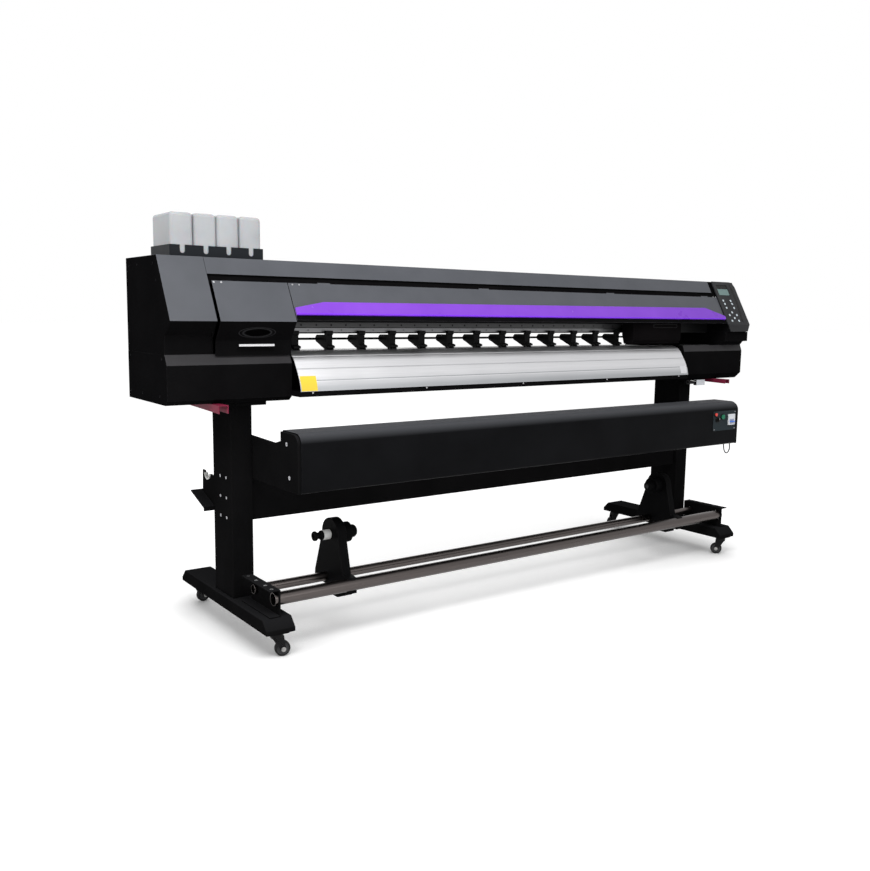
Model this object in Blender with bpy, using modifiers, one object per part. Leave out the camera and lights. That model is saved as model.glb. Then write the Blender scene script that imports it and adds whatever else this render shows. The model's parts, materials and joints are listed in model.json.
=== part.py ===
"""Wide roll printer on a two-column castor stand, with a front dryer and a two-tube take-up.

X runs along the print width, -Y is the operator's side, +Z is up.  Every size below is in metres.
Sizes are given in the stand's own frame, whose Y = 0 lies midway between the front and rear castors;
the root empty moves the whole machine so that its bounding box is centred on the origin.
"""
from math import cos, radians, sin

import bmesh
import bpy
from mathutils import Matrix, Vector

# --- Driving sizes ---------------------------------------------------------------------------------
GAP = 0.0003                 # clearance between touching pieces
RUN = 0.0010                 # clearance round a part that slides or turns in service

BODY_HALF = 1.396            # half the printer body's length
BODY_BOTTOM = 0.791
BODY_HEIGHT = 0.449
BODY_REAR = 0.176
SLOPE_TOP_Y = -0.116         # upper edge of the slanted front
SLOPE_BOTTOM_Y = -0.223      # lower edge of the slanted front
SLOPE_BOTTOM = 1.045
SKIN = 0.003                 # sheet thickness of covers
PLATE = 0.004                # sheet thickness of brackets

FOOT_X = 1.117               # centre of each foot and column
FOOT_WIDTH = 0.100
FOOT_HALF = 0.358            # half the length of a foot
FOOT_FLAT_HALF = 0.329       # where the foot's top starts to slope down to its toe
FOOT_HEIGHT = 0.045
TOE_HEIGHT = 0.0155

WHEEL_RADIUS = 0.025
WHEEL_WIDTH = 0.020
CASTOR_HEIGHT = 0.082        # floor to the underside of the foot
CASTOR_Y = 0.325             # swivel axis
CASTOR_TRAIL = 0.018
CASTOR_TURN = {"front_left": 80.0, "front_right": 216.0, "rear_left": 100.0, "rear_right": 260.0}
CASTOR_PLATE = 0.003
AXLE_RADIUS = 0.004

COLUMN_WIDTH = 0.075
COLUMN_FRONT = -0.080
COLUMN_REAR = 0.070
CAP_THICKNESS = 0.014        # plate on top of a column that carries the body
CAP_FRONT = -0.140
CAP_INNER = 1.055

TUBE_FRONT_RADIUS = 0.0215   # take-up tubes
TUBE_REAR_RADIUS = 0.016
TUBE_WALL = 0.002
TUBE_END = 1.118
TUBE_BOTTOM = 0.158          # underside of both tubes
TUBE_FRONT_Y = -0.304
TUBE_REAR_Y = -0.157
BRACKET_INNER = 1.104
BRACKET_OUTER = 1.142
BRACKET_FRONT = -0.330
BRACKET_REAR = -0.120
BRACKET_TOP = 0.215

TOWER_OUTER = 0.850          # outer face of each take-up tower
TOWER_WIDTH = 0.033
SPOOL_Y = -0.190             # axis of the take-up core
SPOOL_Z = 0.330
TOWER_HEAD = 0.056           # radius of a tower's round head
SPINDLE_RADIUS = 0.008
COLLAR_RADIUS = 0.0165
COLLAR_LENGTH = 0.028

DRYER_ARM = 0.0099           # thickness of the plates that carry the dryer
DRYER_FRONT = -0.408
DRYER_REAR = -0.284
DRYER_BOTTOM = 0.527
DRYER_TOP = 0.711
DRYER_ROUND = 0.035
KNOB_REACH = 0.016           # how far the dryer's controls stand out of its front

HEAD_LEFT = -0.983           # left end of the media opening
HEAD_RIGHT = 0.975           # right end of the media opening
COVER_RIGHT = 1.215
BLOCK_LEFT = 1.232           # left face of the end block under the console
CONSOLE_LEFT = 1.2175
CONSOLE_RIGHT = 1.378
LEDGE_Z = 0.944              # seam between the lower housings and the covers above them
LOWER_FRONT = -0.182         # front face of the lower housings
GUIDE_RIGHT = 0.932
PANEL_RIGHT = -1.250         # seam between the left side cover and the maintenance cover

PINCH_PITCH = 0.1285
PINCH_FIRST = -0.9355
PINCH_COUNT = 13
GRIT_RADIUS = 0.011
PLATEN_TOP = 0.941

BOTTLE_X = (-1.3085, -1.2333, -1.1587, -1.0834)
BOTTLE_WIDTH = 0.0735
BOTTLE_HEIGHT = 0.1284
RACK_HEIGHT = 0.0337
RACK_FRONT = -0.100
RACK_REAR = 0.062

# --- Sizes that follow from them -------------------------------------------------------------------
STAND_Y = (-DRYER_FRONT + KNOB_REACH - FOOT_HALF) / 2
FOOT_TOP = CASTOR_HEIGHT + FOOT_HEIGHT
COLUMN_INNER = FOOT_X - COLUMN_WIDTH / 2
CAP_TOP = BODY_BOTTOM - GAP
COLUMN_TOP = CAP_TOP - CAP_THICKNESS
COLUMN_BOTTOM = FOOT_TOP + GAP
DRYER_HALF = COLUMN_INNER - DRYER_ARM - 2 * GAP
BODY_TOP = BODY_BOTTOM + BODY_HEIGHT
RACK_BOTTOM = BODY_TOP + GAP
RACK_TOP = RACK_BOTTOM + RACK_HEIGHT
RACK_FLOOR = RACK_BOTTOM + SKIN
TOWER_INNER = TOWER_OUTER - TOWER_WIDTH
TUBES = (("front", TUBE_FRONT_Y, TUBE_FRONT_RADIUS), ("rear", TUBE_REAR_Y, TUBE_REAR_RADIUS))
PINCH_X = [PINCH_FIRST + PINCH_PITCH * i for i in range(PINCH_COUNT)]

# --- Materials: colour, roughness, metallic --------------------------------------------------------
FINISHES = {
    "black_paint": ((0.012, 0.012, 0.014), 0.42, 0.0),
    "black_plastic": ((0.018, 0.018, 0.019), 0.38, 0.0),
    "grey_cover": ((0.075, 0.075, 0.080), 0.35, 0.0),
    "silver": ((0.80, 0.80, 0.80), 0.30, 1.0),
    "steel": ((0.60, 0.56, 0.55), 0.22, 1.0),
    "rubber": ((0.030, 0.030, 0.032), 0.70, 0.0),
    "white_plastic": ((0.80, 0.80, 0.79), 0.40, 0.0),
    "bottle": ((0.88, 0.90, 0.90), 0.35, 0.0),
    "crimson": ((0.55, 0.05, 0.12), 0.40, 0.0),
    "blue": ((0.10, 0.22, 0.70), 0.40, 0.0),
    "green": ((0.04, 0.42, 0.20), 0.40, 0.0),
    "red": ((0.60, 0.05, 0.05), 0.40, 0.0),
}

for old in list(bpy.data.objects):
    bpy.data.objects.remove(old, do_unlink=True)

PARTS = bpy.data.collections.new("wide_roll_printer")
CUTTERS = bpy.data.collections.new("cutters")
bpy.context.scene.collection.children.link(PARTS)
bpy.context.scene.collection.children.link(CUTTERS)


def empty(name, place, parent=None, turn=(0.0, 0.0, 0.0)):
    """A guide that holds a joint's axis; it carries no geometry."""
    guide = bpy.data.objects.new(name, None)
    guide.location = place
    guide.rotation_euler = turn
    guide.parent = parent
    PARTS.objects.link(guide)
    return guide


ROOT = empty("machine_root", (0.0, STAND_Y, 0.0))


def material(finish):
    """The named finish as a Principled material, made once."""
    found = bpy.data.materials.get(finish)
    if found:
        return found
    colour, roughness, metallic = FINISHES[finish]
    made = bpy.data.materials.new(finish)
    made.use_nodes = True
    shader = made.node_tree.nodes["Principled BSDF"]
    shader.inputs["Base Color"].default_value = (*colour, 1.0)
    shader.inputs["Roughness"].default_value = roughness
    shader.inputs["Metallic"].default_value = metallic
    return made


def add(name, mesh, centre, parent):
    """An object for a mesh that is drawn in its parent's frame; its origin is put at `centre`."""
    mesh.transform(Matrix.Translation(-Vector(centre)))
    shape = bpy.data.objects.new(name, mesh)
    shape.location = centre
    shape.parent = parent
    PARTS.objects.link(shape)
    return shape


def box(x0, x1, y0, y1, z0, z1):
    """A block between two corners."""
    builder = bmesh.new()
    bmesh.ops.create_cube(builder, size=1.0)
    size = Vector((x1 - x0, y1 - y0, z1 - z0))
    middle = Vector((x0 + x1, y0 + y1, z0 + z1)) / 2
    bmesh.ops.scale(builder, vec=size, verts=builder.verts)
    bmesh.ops.translate(builder, vec=middle, verts=builder.verts)
    mesh = bpy.data.meshes.new("block")
    builder.to_mesh(mesh)
    builder.free()
    return mesh


AXIS_TURN = {
    "X": Matrix(((0, 0, 1, 0), (1, 0, 0, 0), (0, 1, 0, 0), (0, 0, 0, 1))),
    "Y": Matrix(((1, 0, 0, 0), (0, 0, -1, 0), (0, 1, 0, 0), (0, 0, 0, 1))),
    "Z": Matrix.Identity(4),
}


def prism(outline, axis, start, end):
    """A flat outline given thickness along one axis: (y, z) for X, (x, z) for Y, (x, y) for Z."""
    curve = bpy.data.curves.new("outline", "CURVE")
    curve.dimensions = "2D"
    curve.fill_mode = "BOTH"
    curve.extrude = (end - start) / 2
    spline = curve.splines.new("POLY")
    spline.points.add(len(outline) - 1)
    for point, (across, up) in zip(spline.points, outline):
        point.co = (across, up, 0.0, 1.0)
    spline.use_cyclic_u = True
    guide = bpy.data.objects.new("outline", curve)
    PARTS.objects.link(guide)
    graph = bpy.context.evaluated_depsgraph_get()
    mesh = bpy.data.meshes.new_from_object(guide.evaluated_get(graph))
    bpy.data.objects.remove(guide)
    bpy.data.curves.remove(curve)
    builder = bmesh.new()
    builder.from_mesh(mesh)
    bmesh.ops.remove_doubles(builder, verts=builder.verts, dist=0.00001)
    bmesh.ops.recalc_face_normals(builder, faces=builder.faces)
    builder.to_mesh(mesh)
    builder.free()
    middle = (start + end) / 2
    shift = {"X": (middle, 0, 0), "Y": (0, middle, 0), "Z": (0, 0, middle)}[axis]
    mesh.transform(Matrix.Translation(shift) @ AXIS_TURN[axis])
    return mesh


def rod(axis, centre, radius, length, sides=24):
    """A round bar centred on a point."""
    builder = bmesh.new()
    bmesh.ops.create_cone(builder, cap_ends=True, segments=sides, radius1=radius, radius2=radius, depth=length)
    mesh = bpy.data.meshes.new("rod")
    builder.to_mesh(mesh)
    builder.free()
    mesh.transform(Matrix.Translation(centre) @ AXIS_TURN[axis])
    return mesh


def turned(axis, centre, profile, sides=24):
    """A turned shape: (radius, height) points down the outer side, spun about an axis."""
    mesh = bpy.data.meshes.new("turned")
    points = [(radius, 0.0, height) for radius, height in profile]
    mesh.from_pydata(points, [(i, i + 1) for i in range(len(points) - 1)], [])
    guide = bpy.data.objects.new("turned", mesh)
    PARTS.objects.link(guide)
    spin = guide.modifiers.new("spin", "SCREW")
    spin.axis = "Z"
    spin.steps = sides
    spin.render_steps = sides
    spin.use_merge_vertices = True
    spin.merge_threshold = 0.00005
    graph = bpy.context.evaluated_depsgraph_get()
    made = bpy.data.meshes.new_from_object(guide.evaluated_get(graph))
    bpy.data.objects.remove(guide)
    bpy.data.meshes.remove(mesh)
    made.transform(Matrix.Translation(centre) @ AXIS_TURN[axis])
    return made


def arc(middle, radius, start, end, steps):
    """Points along a circular arc, angles in degrees."""
    angles = [radians(start + (end - start) * i / steps) for i in range(steps + 1)]
    return [(middle[0] + radius * cos(a), middle[1] + radius * sin(a)) for a in angles]


def combine(target, meshes, operation):
    """Joins meshes to the object, or cuts them from it, one Boolean each."""
    for number, mesh in enumerate(meshes):
        tool = bpy.data.objects.new(f"{target.name}_{operation.lower()}_{number}", mesh)
        tool.parent = target.parent
        tool.hide_render = True
        tool.display_type = "WIRE"
        CUTTERS.objects.link(tool)
        step = target.modifiers.new(operation.lower(), "BOOLEAN")
        step.operation = operation
        step.solver = "EXACT"
        step.object = tool
    return target


def piece(name, finish, mesh, joined=(), cut=(), bevel=0.0, centre=(0.0, 0.0, 0.0), parent=ROOT,
          smooth=35.0):
    """One sub-part: a base mesh, what is joined to it, what is cut from it, and its broken edges."""
    shape = add(name, mesh, centre, parent)
    if bevel:
        edge = shape.modifiers.new("edges", "BEVEL")
        edge.width = bevel
        edge.segments = 1
        edge.limit_method = "ANGLE"
        edge.angle_limit = radians(40.0)
    combine(shape, joined, "UNION")
    combine(shape, cut, "DIFFERENCE")
    shape.data.shade_smooth()
    shape.data.set_sharp_from_angle(angle=radians(smooth))
    shape.data.materials.clear()
    shape.data.materials.append(material(finish))
    return shape


def mirrored(side, near, far):
    """Two X limits measured outward from the middle, ordered for the side they are on."""
    return (near, far) if side > 0 else (-far, -near)


SIDES = (("left", -1), ("right", 1))


# --- Stand -----------------------------------------------------------------------------------------
def make_foot(name, side):
    """A welded box foot whose toes slope down, with a mounting plate under each end for a castor."""
    bottom = CASTOR_HEIGHT
    outline = [(-FOOT_HALF, bottom), (FOOT_HALF, bottom), (FOOT_HALF, bottom + TOE_HEIGHT),
               (FOOT_FLAT_HALF, FOOT_TOP), (-FOOT_FLAT_HALF, FOOT_TOP), (-FOOT_HALF, bottom + TOE_HEIGHT)]
    x = side * FOOT_X
    foot = prism(outline, "X", x - FOOT_WIDTH / 2, x + FOOT_WIDTH / 2)
    half = 0.030
    plates = [box(x - half, x + half, y - half, y + half, bottom - CASTOR_PLATE, bottom + 0.001)
              for y in (-CASTOR_Y, CASTOR_Y)]
    piece(f"foot_{name}", "black_paint", foot, plates, bevel=0.002)


def make_castor(end, y, name, side):
    """A swivel fork with its axle, and the wheel that runs on it."""
    corner = f"{end}_{name}"
    swivel = empty(f"swivel_{corner}", (side * FOOT_X, y, 0.0), ROOT,
                   (0.0, 0.0, radians(CASTOR_TURN[corner])))
    top = CASTOR_HEIGHT - CASTOR_PLATE - GAP
    head = 0.066
    cheek = 0.0025
    inside = WHEEL_WIDTH / 2 + RUN
    race = rod("Z", (0.0, 0.0, (head + top) / 2), 0.021, top - head, 20)
    cheek_outline = [(0.020, head + 0.004), (-0.020, head + 0.004)]
    cheek_outline += arc((-CASTOR_TRAIL, WHEEL_RADIUS), 0.009, 190, 340, 5)
    cheeks = [prism(cheek_outline, "X", low, low + cheek) for low in (-inside - cheek, inside)]
    lap = 0.0005
    crown = box(lap - inside - cheek, inside + cheek - lap, -0.019, 0.019, head - 0.004, head + 0.0035)
    axle = rod("X", (0.0, -CASTOR_TRAIL, WHEEL_RADIUS), AXLE_RADIUS, 2 * (inside + cheek) + 0.002, 12)
    nuts = [rod("X", (s * (inside + cheek + 0.002), -CASTOR_TRAIL, WHEEL_RADIUS), 0.0065, 0.004, 12)
            for s in (-1, 1)]
    piece(f"castor_fork_{corner}", "black_paint", race, [crown, *cheeks, axle, *nuts], parent=swivel)
    bore = AXLE_RADIUS + GAP
    half = WHEEL_WIDTH / 2
    profile = [(bore, half), (0.012, half), (0.014, half - 0.002), (0.020, half - 0.002),
               (0.0225, half), (WHEEL_RADIUS, half - 0.004), (WHEEL_RADIUS, 0.004 - half),
               (0.0225, -half), (0.020, 0.002 - half), (0.014, 0.002 - half), (0.012, -half),
               (bore, -half), (bore, half)]
    hub = (0.0, -CASTOR_TRAIL, WHEEL_RADIUS)
    wheel = turned("X", hub, profile, 28)
    piece(f"castor_wheel_{corner}", "rubber", wheel, centre=hub, parent=swivel)


def make_column(name, side):
    """A box column on its foot, closed by the plate that carries the printer body."""
    x0, x1 = mirrored(side, COLUMN_INNER, COLUMN_INNER + COLUMN_WIDTH)
    cap_outer = COLUMN_INNER + COLUMN_WIDTH + 0.004
    c0, c1 = mirrored(side, CAP_INNER, cap_outer)
    post = box(x0, x1, COLUMN_FRONT, COLUMN_REAR, COLUMN_BOTTOM, COLUMN_TOP + 0.002)
    cap = box(c0, c1, CAP_FRONT, COLUMN_REAR + 0.030, COLUMN_TOP, CAP_TOP)
    piece(f"column_{name}", "black_paint", post, [cap])


def make_cross_beam():
    """The beam between the columns."""
    reach = COLUMN_INNER - GAP
    beam = box(-reach, reach, -0.065, 0.035, 0.383, 0.560)
    piece("cross_beam", "black_paint", beam, bevel=0.003)


def make_stand():
    for name, side in SIDES:
        make_foot(name, side)
        make_column(name, side)
        make_castor("front", -CASTOR_Y, name, side)
        make_castor("rear", CASTOR_Y, name, side)
    make_cross_beam()


# --- Take-up ---------------------------------------------------------------------------------------
def make_tubes():
    """Two steel tubes along the machine that the take-up towers slide on."""
    for name, y, radius in TUBES:
        middle = (0.0, y, TUBE_BOTTOM + radius)
        tube = rod("X", middle, radius, 2 * TUBE_END)
        hollow = rod("X", middle, radius - TUBE_WALL, 2 * TUBE_END + 0.01)
        piece(f"tube_{name}", "steel", tube, cut=[hollow])


def make_tube_bracket(name, side):
    """A folded channel along the foot: its web holds both tubes and its flanges point outward."""
    bottom = FOOT_TOP + GAP
    wall = PLATE
    x0, x1 = mirrored(side, BRACKET_INNER, BRACKET_OUTER)
    c0, c1 = mirrored(side, BRACKET_INNER + wall, BRACKET_OUTER + 0.010)
    block = box(x0, x1, BRACKET_FRONT, BRACKET_REAR, bottom, BRACKET_TOP)
    hollow = box(c0, c1, BRACKET_FRONT - 0.01, BRACKET_REAR + 0.01, bottom + wall, BRACKET_TOP - wall)
    holes = [rod("X", (side * BRACKET_INNER, y, TUBE_BOTTOM + radius), radius + GAP, 4 * wall)
             for _, y, radius in TUBES]
    piece(f"tube_bracket_{name}", "black_paint", block, cut=[hollow, *holes])


def make_tower(name, side):
    """A take-up tower: a tapered box with a round head, saddled on both tubes, with a clamp below."""
    x0, x1 = mirrored(side, TOWER_INNER, TOWER_OUTER)
    front = TUBE_FRONT_Y + TUBE_FRONT_RADIUS + 0.002
    rear = TUBE_REAR_Y + TUBE_REAR_RADIUS + RUN
    wall = 0.006
    base = TUBE_BOTTOM - wall
    front_top = TUBE_BOTTOM + 2 * TUBE_FRONT_RADIUS + wall
    outline = [(front, base), (-0.081, base), (-0.084, 0.185)]
    outline += arc((SPOOL_Y, SPOOL_Z), TOWER_HEAD, -5, 185, 10)
    outline += [(front + 0.004, front_top - 0.004)]
    body = prism(outline, "X", x0, x1)
    saddle = [(TUBE_FRONT_Y - 0.010, base - 0.002), (rear + 0.006, base - 0.002),
              (rear + 0.006, TUBE_BOTTOM + 2 * TUBE_REAR_RADIUS + wall), (front + 0.010, front_top),
              (front, front_top), (TUBE_FRONT_Y - 0.010, front_top - 0.005)]
    under = box(x0 - 0.012, x1 + 0.012, -0.262, -0.212, base - 0.023, base + 0.002)
    grooves = [rod("X", ((x0 + x1) / 2, y, TUBE_BOTTOM + radius), radius + GAP, TOWER_WIDTH + 0.02)
               for _, y, radius in TUBES]
    bore = rod("X", ((x0 + x1) / 2, SPOOL_Y, SPOOL_Z), SPINDLE_RADIUS + GAP, TOWER_WIDTH + 0.2)
    collar_middle = side * (TOWER_OUTER + COLLAR_LENGTH / 2 - 0.001)
    collar = rod("X", (collar_middle, SPOOL_Y, SPOOL_Z), COLLAR_RADIUS, COLLAR_LENGTH + 0.002)
    foot = prism(saddle, "X", x0, x1)
    piece(f"tower_{name}", "black_plastic", body, [foot, under, collar], [*grooves, bore])


def make_chuck(name, side):
    """The spindle through a tower, with the flanged chuck on its inner end and the knob outside."""
    inner = side * (TOWER_INNER - RUN)
    hub = (inner, SPOOL_Y, SPOOL_Z)
    reach = TOWER_WIDTH + COLLAR_LENGTH + 0.030
    flange = 0.038
    spigot = 0.026
    tip = flange + spigot
    profile = [(0.0, tip), (0.0175, tip), (0.0220, tip - 0.006), (0.0220, flange), (0.0340, flange),
               (0.0350, flange - 0.001), (0.0350, 0.0), (SPINDLE_RADIUS, 0.0), (SPINDLE_RADIUS, -reach),
               (0.0, -reach)]
    if side > 0:
        profile = [(radius, -height) for radius, height in reversed(profile)]
    piece(f"chuck_{name}", "black_plastic", turned("X", hub, profile, 20), centre=hub)


def make_tension_knob():
    """The winder knob on the left spindle's outer end."""
    start = -(TOWER_OUTER + COLLAR_LENGTH + RUN)
    length = 0.034
    middle = (start - length / 2, SPOOL_Y, SPOOL_Z)
    radius = 0.0155
    waist = 0.011
    half = length / 2
    profile = [(0.0, half), (radius, half), (radius, half - 0.008), (waist, half - 0.011),
               (waist, 0.013 - half), (radius, 0.010 - half), (radius, -half), (0.0, -half)]
    bore = rod("X", middle, SPINDLE_RADIUS + GAP, length + 0.01, 20)
    piece("tension_knob", "black_plastic", turned("X", middle, profile, 20), cut=[bore], centre=middle)


def make_take_up():
    make_tubes()
    for name, side in SIDES:
        make_tube_bracket(name, side)
        make_tower(name, side)
        make_chuck(name, side)
    make_tension_knob()


# --- Rear feed brackets ----------------------------------------------------------------------------
def make_feed_bracket(name, side):
    """A sheet bracket behind a column: a sloped tray, and an upright cheek with a seat for a roll bar."""
    x0, x1 = mirrored(side, 1.060, 1.190)
    front = COLUMN_REAR + GAP
    tray = [(front, 0.400), (front + 0.004, 0.400), (front + 0.004, 0.410), (0.190, 0.450),
            (0.190, 0.455), (front, 0.4145)]
    sheet = prism(tray, "X", x0, x1)
    cheek_outline = [(front, 0.412), (0.130, 0.430), (0.176, 0.447), (0.172, 0.527), (0.150, 0.527)]
    cheek_outline += arc((0.125, 0.520), 0.022, 0, -180, 8)
    cheek_outline += [(front, 0.520)]
    c0, c1 = mirrored(side, 1.148, 1.152)
    cheek = prism(cheek_outline, "X", c0, c1)
    piece(f"feed_bracket_{name}", "black_paint", sheet, [cheek])


# --- Dryer -----------------------------------------------------------------------------------------
PLATE_X0 = 0.903             # control plate on the dryer's front
PLATE_X1 = 1.055
PLATE_Z0 = 0.591
PLATE_Z1 = 0.675
PLATE_SHEET = 0.002
BUTTON_TRAVEL = 0.002
BUTTON_GAP = 0.0006


def dryer_outline(inset=0.0):
    """The dryer's section: flat back and bottom, rounded over at the top front."""
    front = DRYER_FRONT + inset
    top = DRYER_TOP - inset
    bottom = DRYER_BOTTOM + inset
    edge = 0.010
    points = [(DRYER_REAR, bottom), (DRYER_REAR, top)]
    points += arc((front + DRYER_ROUND, top - DRYER_ROUND), DRYER_ROUND, 90, 180, 8)
    points += arc((front + edge, bottom + edge), edge, 180, 270, 3)
    return points


def make_dryer_arm(name, side):
    """A side plate: it closes the dryer's end and runs back to the column's inner face."""
    x0, x1 = mirrored(side, DRYER_HALF + GAP, COLUMN_INNER - GAP)
    front = DRYER_FRONT + 0.003
    top = DRYER_TOP - 0.003
    bottom = DRYER_BOTTOM
    outline = [(0.030, 0.566), (0.030, 0.670), (-0.060, 0.670), (-0.243, 0.666), (-0.287, 0.678),
               (-0.287, top)]
    outline += arc((front + DRYER_ROUND, top - DRYER_ROUND), DRYER_ROUND, 90, 180, 6)
    outline += [(front, bottom), (-0.070, bottom), (-0.070, 0.566)]
    piece(f"dryer_arm_{name}", "black_paint", prism(outline, "X", x0, x1))


def make_button(name, finish, x, z, radius, reach):
    """A sprung push button that slides in a collar on the control plate."""
    face = DRYER_FRONT - GAP - PLATE_SHEET
    back = face - BUTTON_TRAVEL - GAP
    length = reach
    middle = (x, back - length / 2, z)
    cap = rod("Y", middle, radius, length, 20)
    piece(name, finish, cap, centre=middle)


CONTROLS = {
    "red": (0.914, 0.6625, 0.0070),
    "selector": (0.926, 0.6400, 0.0090),
    "green": (0.962, 0.6500, 0.0105),
}
BREAKER = (1.000, 1.042, 0.613, 0.660)


def make_controls():
    """The control plate with its two buttons, selector and circuit breaker."""
    back = DRYER_FRONT - GAP
    face = back - PLATE_SHEET
    plate = box(PLATE_X0, PLATE_X1, face, back, PLATE_Z0, PLATE_Z1)
    collars = []
    wells = []
    for x, z, radius in CONTROLS.values():
        depth = 0.0035
        middle = face - depth / 2 + 0.0005
        collars.append(rod("Y", (x, middle, z), radius + 0.0030, depth + 0.001, 20))
        wells.append(rod("Y", (x, face - 0.02, z), radius + BUTTON_GAP, 0.04, 20))
    piece("control_plate", "grey_cover", plate, collars, wells)
    for name in ("red", "green"):
        x, z, radius = CONTROLS[name]
        make_button(f"{name}_button", name, x, z, radius, 0.0055)
    x, z, radius = CONTROLS["selector"]
    seat = face - GAP
    dial = rod("Y", (x, seat - 0.003, z), radius, 0.006, 20)
    grip = box(x - 0.0035, x + 0.0035, seat - 0.0135, seat - 0.002, z - radius + 0.001, z + radius - 0.001)
    piece("selector_knob", "black_plastic", dial, [grip], centre=(x, seat, z))
    x0, x1, z0, z1 = BREAKER
    depth = 0.007
    middle_x = (x0 + x1) / 2
    body = box(x0, x1, face - GAP - depth, face - GAP, z0, z1)
    slot_low = z0 + 0.006
    slot_high = z0 + 0.024
    slot = box(x0 + 0.006, x1 - 0.006, face - depth - 0.01, face - 0.0015, slot_low, slot_high)
    piece("breaker", "white_plastic", body, cut=[slot])
    pivot = (middle_x, face - 0.0045, (slot_low + slot_high) / 2)
    half = (x1 - x0) / 2 - 0.0070
    drum = rod("X", pivot, 0.0025, 2 * half, 12)
    tip = DRYER_FRONT - KNOB_REACH
    bar = box(middle_x - half, middle_x + half, tip, pivot[1], pivot[2] - 0.0022, pivot[2] + 0.0022)
    piece("breaker_toggle", "blue", drum, [bar], centre=pivot)


def smooth_route(points, parts):
    """Points along a Catmull-Rom curve through a short list of hand-placed points."""
    padded = [points[0], *points, points[-1]]
    route = []
    for a, b, c, d in zip(padded, padded[1:], padded[2:], padded[3:]):
        a, b, c, d = Vector(a), Vector(b), Vector(c), Vector(d)
        for step in range(parts):
            t = step / parts
            route.append(0.5 * (2 * b + (c - a) * t + (2 * a - 5 * b + 4 * c - d) * t * t
                                + (3 * b - a - 3 * c + d) * t ** 3))
    route.append(Vector(points[-1]))
    return route


CABLE_Y = -0.385
CABLE_ROUTE = [(1.0160, CABLE_Y, DRYER_BOTTOM - GAP), (1.0162, CABLE_Y, 0.5180), (1.0205, CABLE_Y, 0.5000),
               (1.0300, CABLE_Y, 0.4870), (1.0420, CABLE_Y, 0.4830), (1.0530, CABLE_Y, 0.4890),
               (1.0600, CABLE_Y, 0.5020), (1.0590, CABLE_Y, 0.5150), (1.0580, CABLE_Y, 0.5200),
               (1.0580, CABLE_Y, DRYER_BOTTOM - GAP)]
CABLE_RADIUS = 0.0024


def make_cable():
    """The lead that leaves the dryer's bottom and returns to it in a short hanging loop."""
    curve = bpy.data.curves.new("cable_loop", "CURVE")
    curve.dimensions = "3D"
    curve.bevel_depth = CABLE_RADIUS
    curve.bevel_resolution = 2
    curve.use_fill_caps = True
    spline = curve.splines.new("POLY")
    route = smooth_route(CABLE_ROUTE, 2)
    spline.points.add(len(route) - 1)
    for point, place in zip(spline.points, route):
        point.co = (*place, 1.0)
    lead = bpy.data.objects.new("cable_loop", curve)
    lead.parent = ROOT
    curve.materials.append(material("rubber"))
    PARTS.objects.link(lead)


def make_dryer():
    piece("dryer_housing", "black_paint", prism(dryer_outline(), "X", -DRYER_HALF, DRYER_HALF))
    for name, side in SIDES:
        make_dryer_arm(name, side)
    make_controls()
    make_cable()


# --- Printer body ----------------------------------------------------------------------------------
SLOPE_RUN = (SLOPE_TOP_Y - SLOPE_BOTTOM_Y) / (BODY_TOP - SLOPE_BOTTOM)
SLOPE_UP = Vector((0.0, SLOPE_RUN, 1.0)).normalized()
SLOPE_OUT = Vector((1.0, 0.0, 0.0)).cross(SLOPE_UP)
SLOPE_FRAME = Matrix.Translation((0.0, SLOPE_BOTTOM_Y, SLOPE_BOTTOM)) @ Matrix((
    (1.0, 0.0, 0.0, 0.0),
    (0.0, SLOPE_UP.y, SLOPE_OUT.y, 0.0),
    (0.0, SLOPE_UP.z, SLOPE_OUT.z, 0.0),
    (0.0, 0.0, 0.0, 1.0)))
BAND_BOTTOM = BODY_TOP - 0.052   # lower edge of the top band; the groove under it holds the hinges
COVER_TOP = BAND_BOTTOM - 0.020
HINGE_Z = COVER_TOP + 0.004
GROOVE_DEPTH = 0.008
HINGE_DEPTH = 0.0045         # hinge axis below the slanted surface
HINGE_RADIUS = GROOVE_DEPTH - HINGE_DEPTH - GAP
MAINTENANCE_LEFT = -1.240
MAINTENANCE_RIGHT = -0.985
BAND_RIGHT = 1.191
REAR_OPENING_TOP = 1.030
BAY_WALL = 0.005
RIGHT_LEDGE = 0.948
GRIT_Y = -0.110
GRIT_Z = PLATEN_TOP + 0.0005 - GRIT_RADIUS
JOURNAL_RADIUS = 0.006
JOURNAL_REACH = 0.015
LEVER_PIVOT = (1.041, -0.1520, 0.780)
LEVER_PIN = 0.004
FACET_Y = -0.2163              # lower edge of the facet under the console
FACET_BOTTOM = 1.012


def slope_y(z, inward=0.0):
    """Y of the slanted front at a height, or of the parallel plane that far inside it."""
    return SLOPE_BOTTOM_Y + (z - SLOPE_BOTTOM) * SLOPE_RUN + inward / SLOPE_UP.z


def along_slope(z):
    """Distance up the slanted front from its lower edge to a height."""
    return (z - SLOPE_BOTTOM) / SLOPE_UP.z


def slope_slab(outline, low, high):
    """A slab on the slanted front from (x, z) points, between two distances outward from it."""
    flat = [(x, along_slope(z)) for x, z in outline]
    mesh = prism(flat, "Z", low, high)
    mesh.transform(SLOPE_FRAME)
    return mesh


def journal_hole(x):
    """The bearing hole for the grit roller's end."""
    return rod("X", (x, GRIT_Y, GRIT_Z), JOURNAL_RADIUS + GAP, 2 * (JOURNAL_REACH + RUN), 16)


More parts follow.
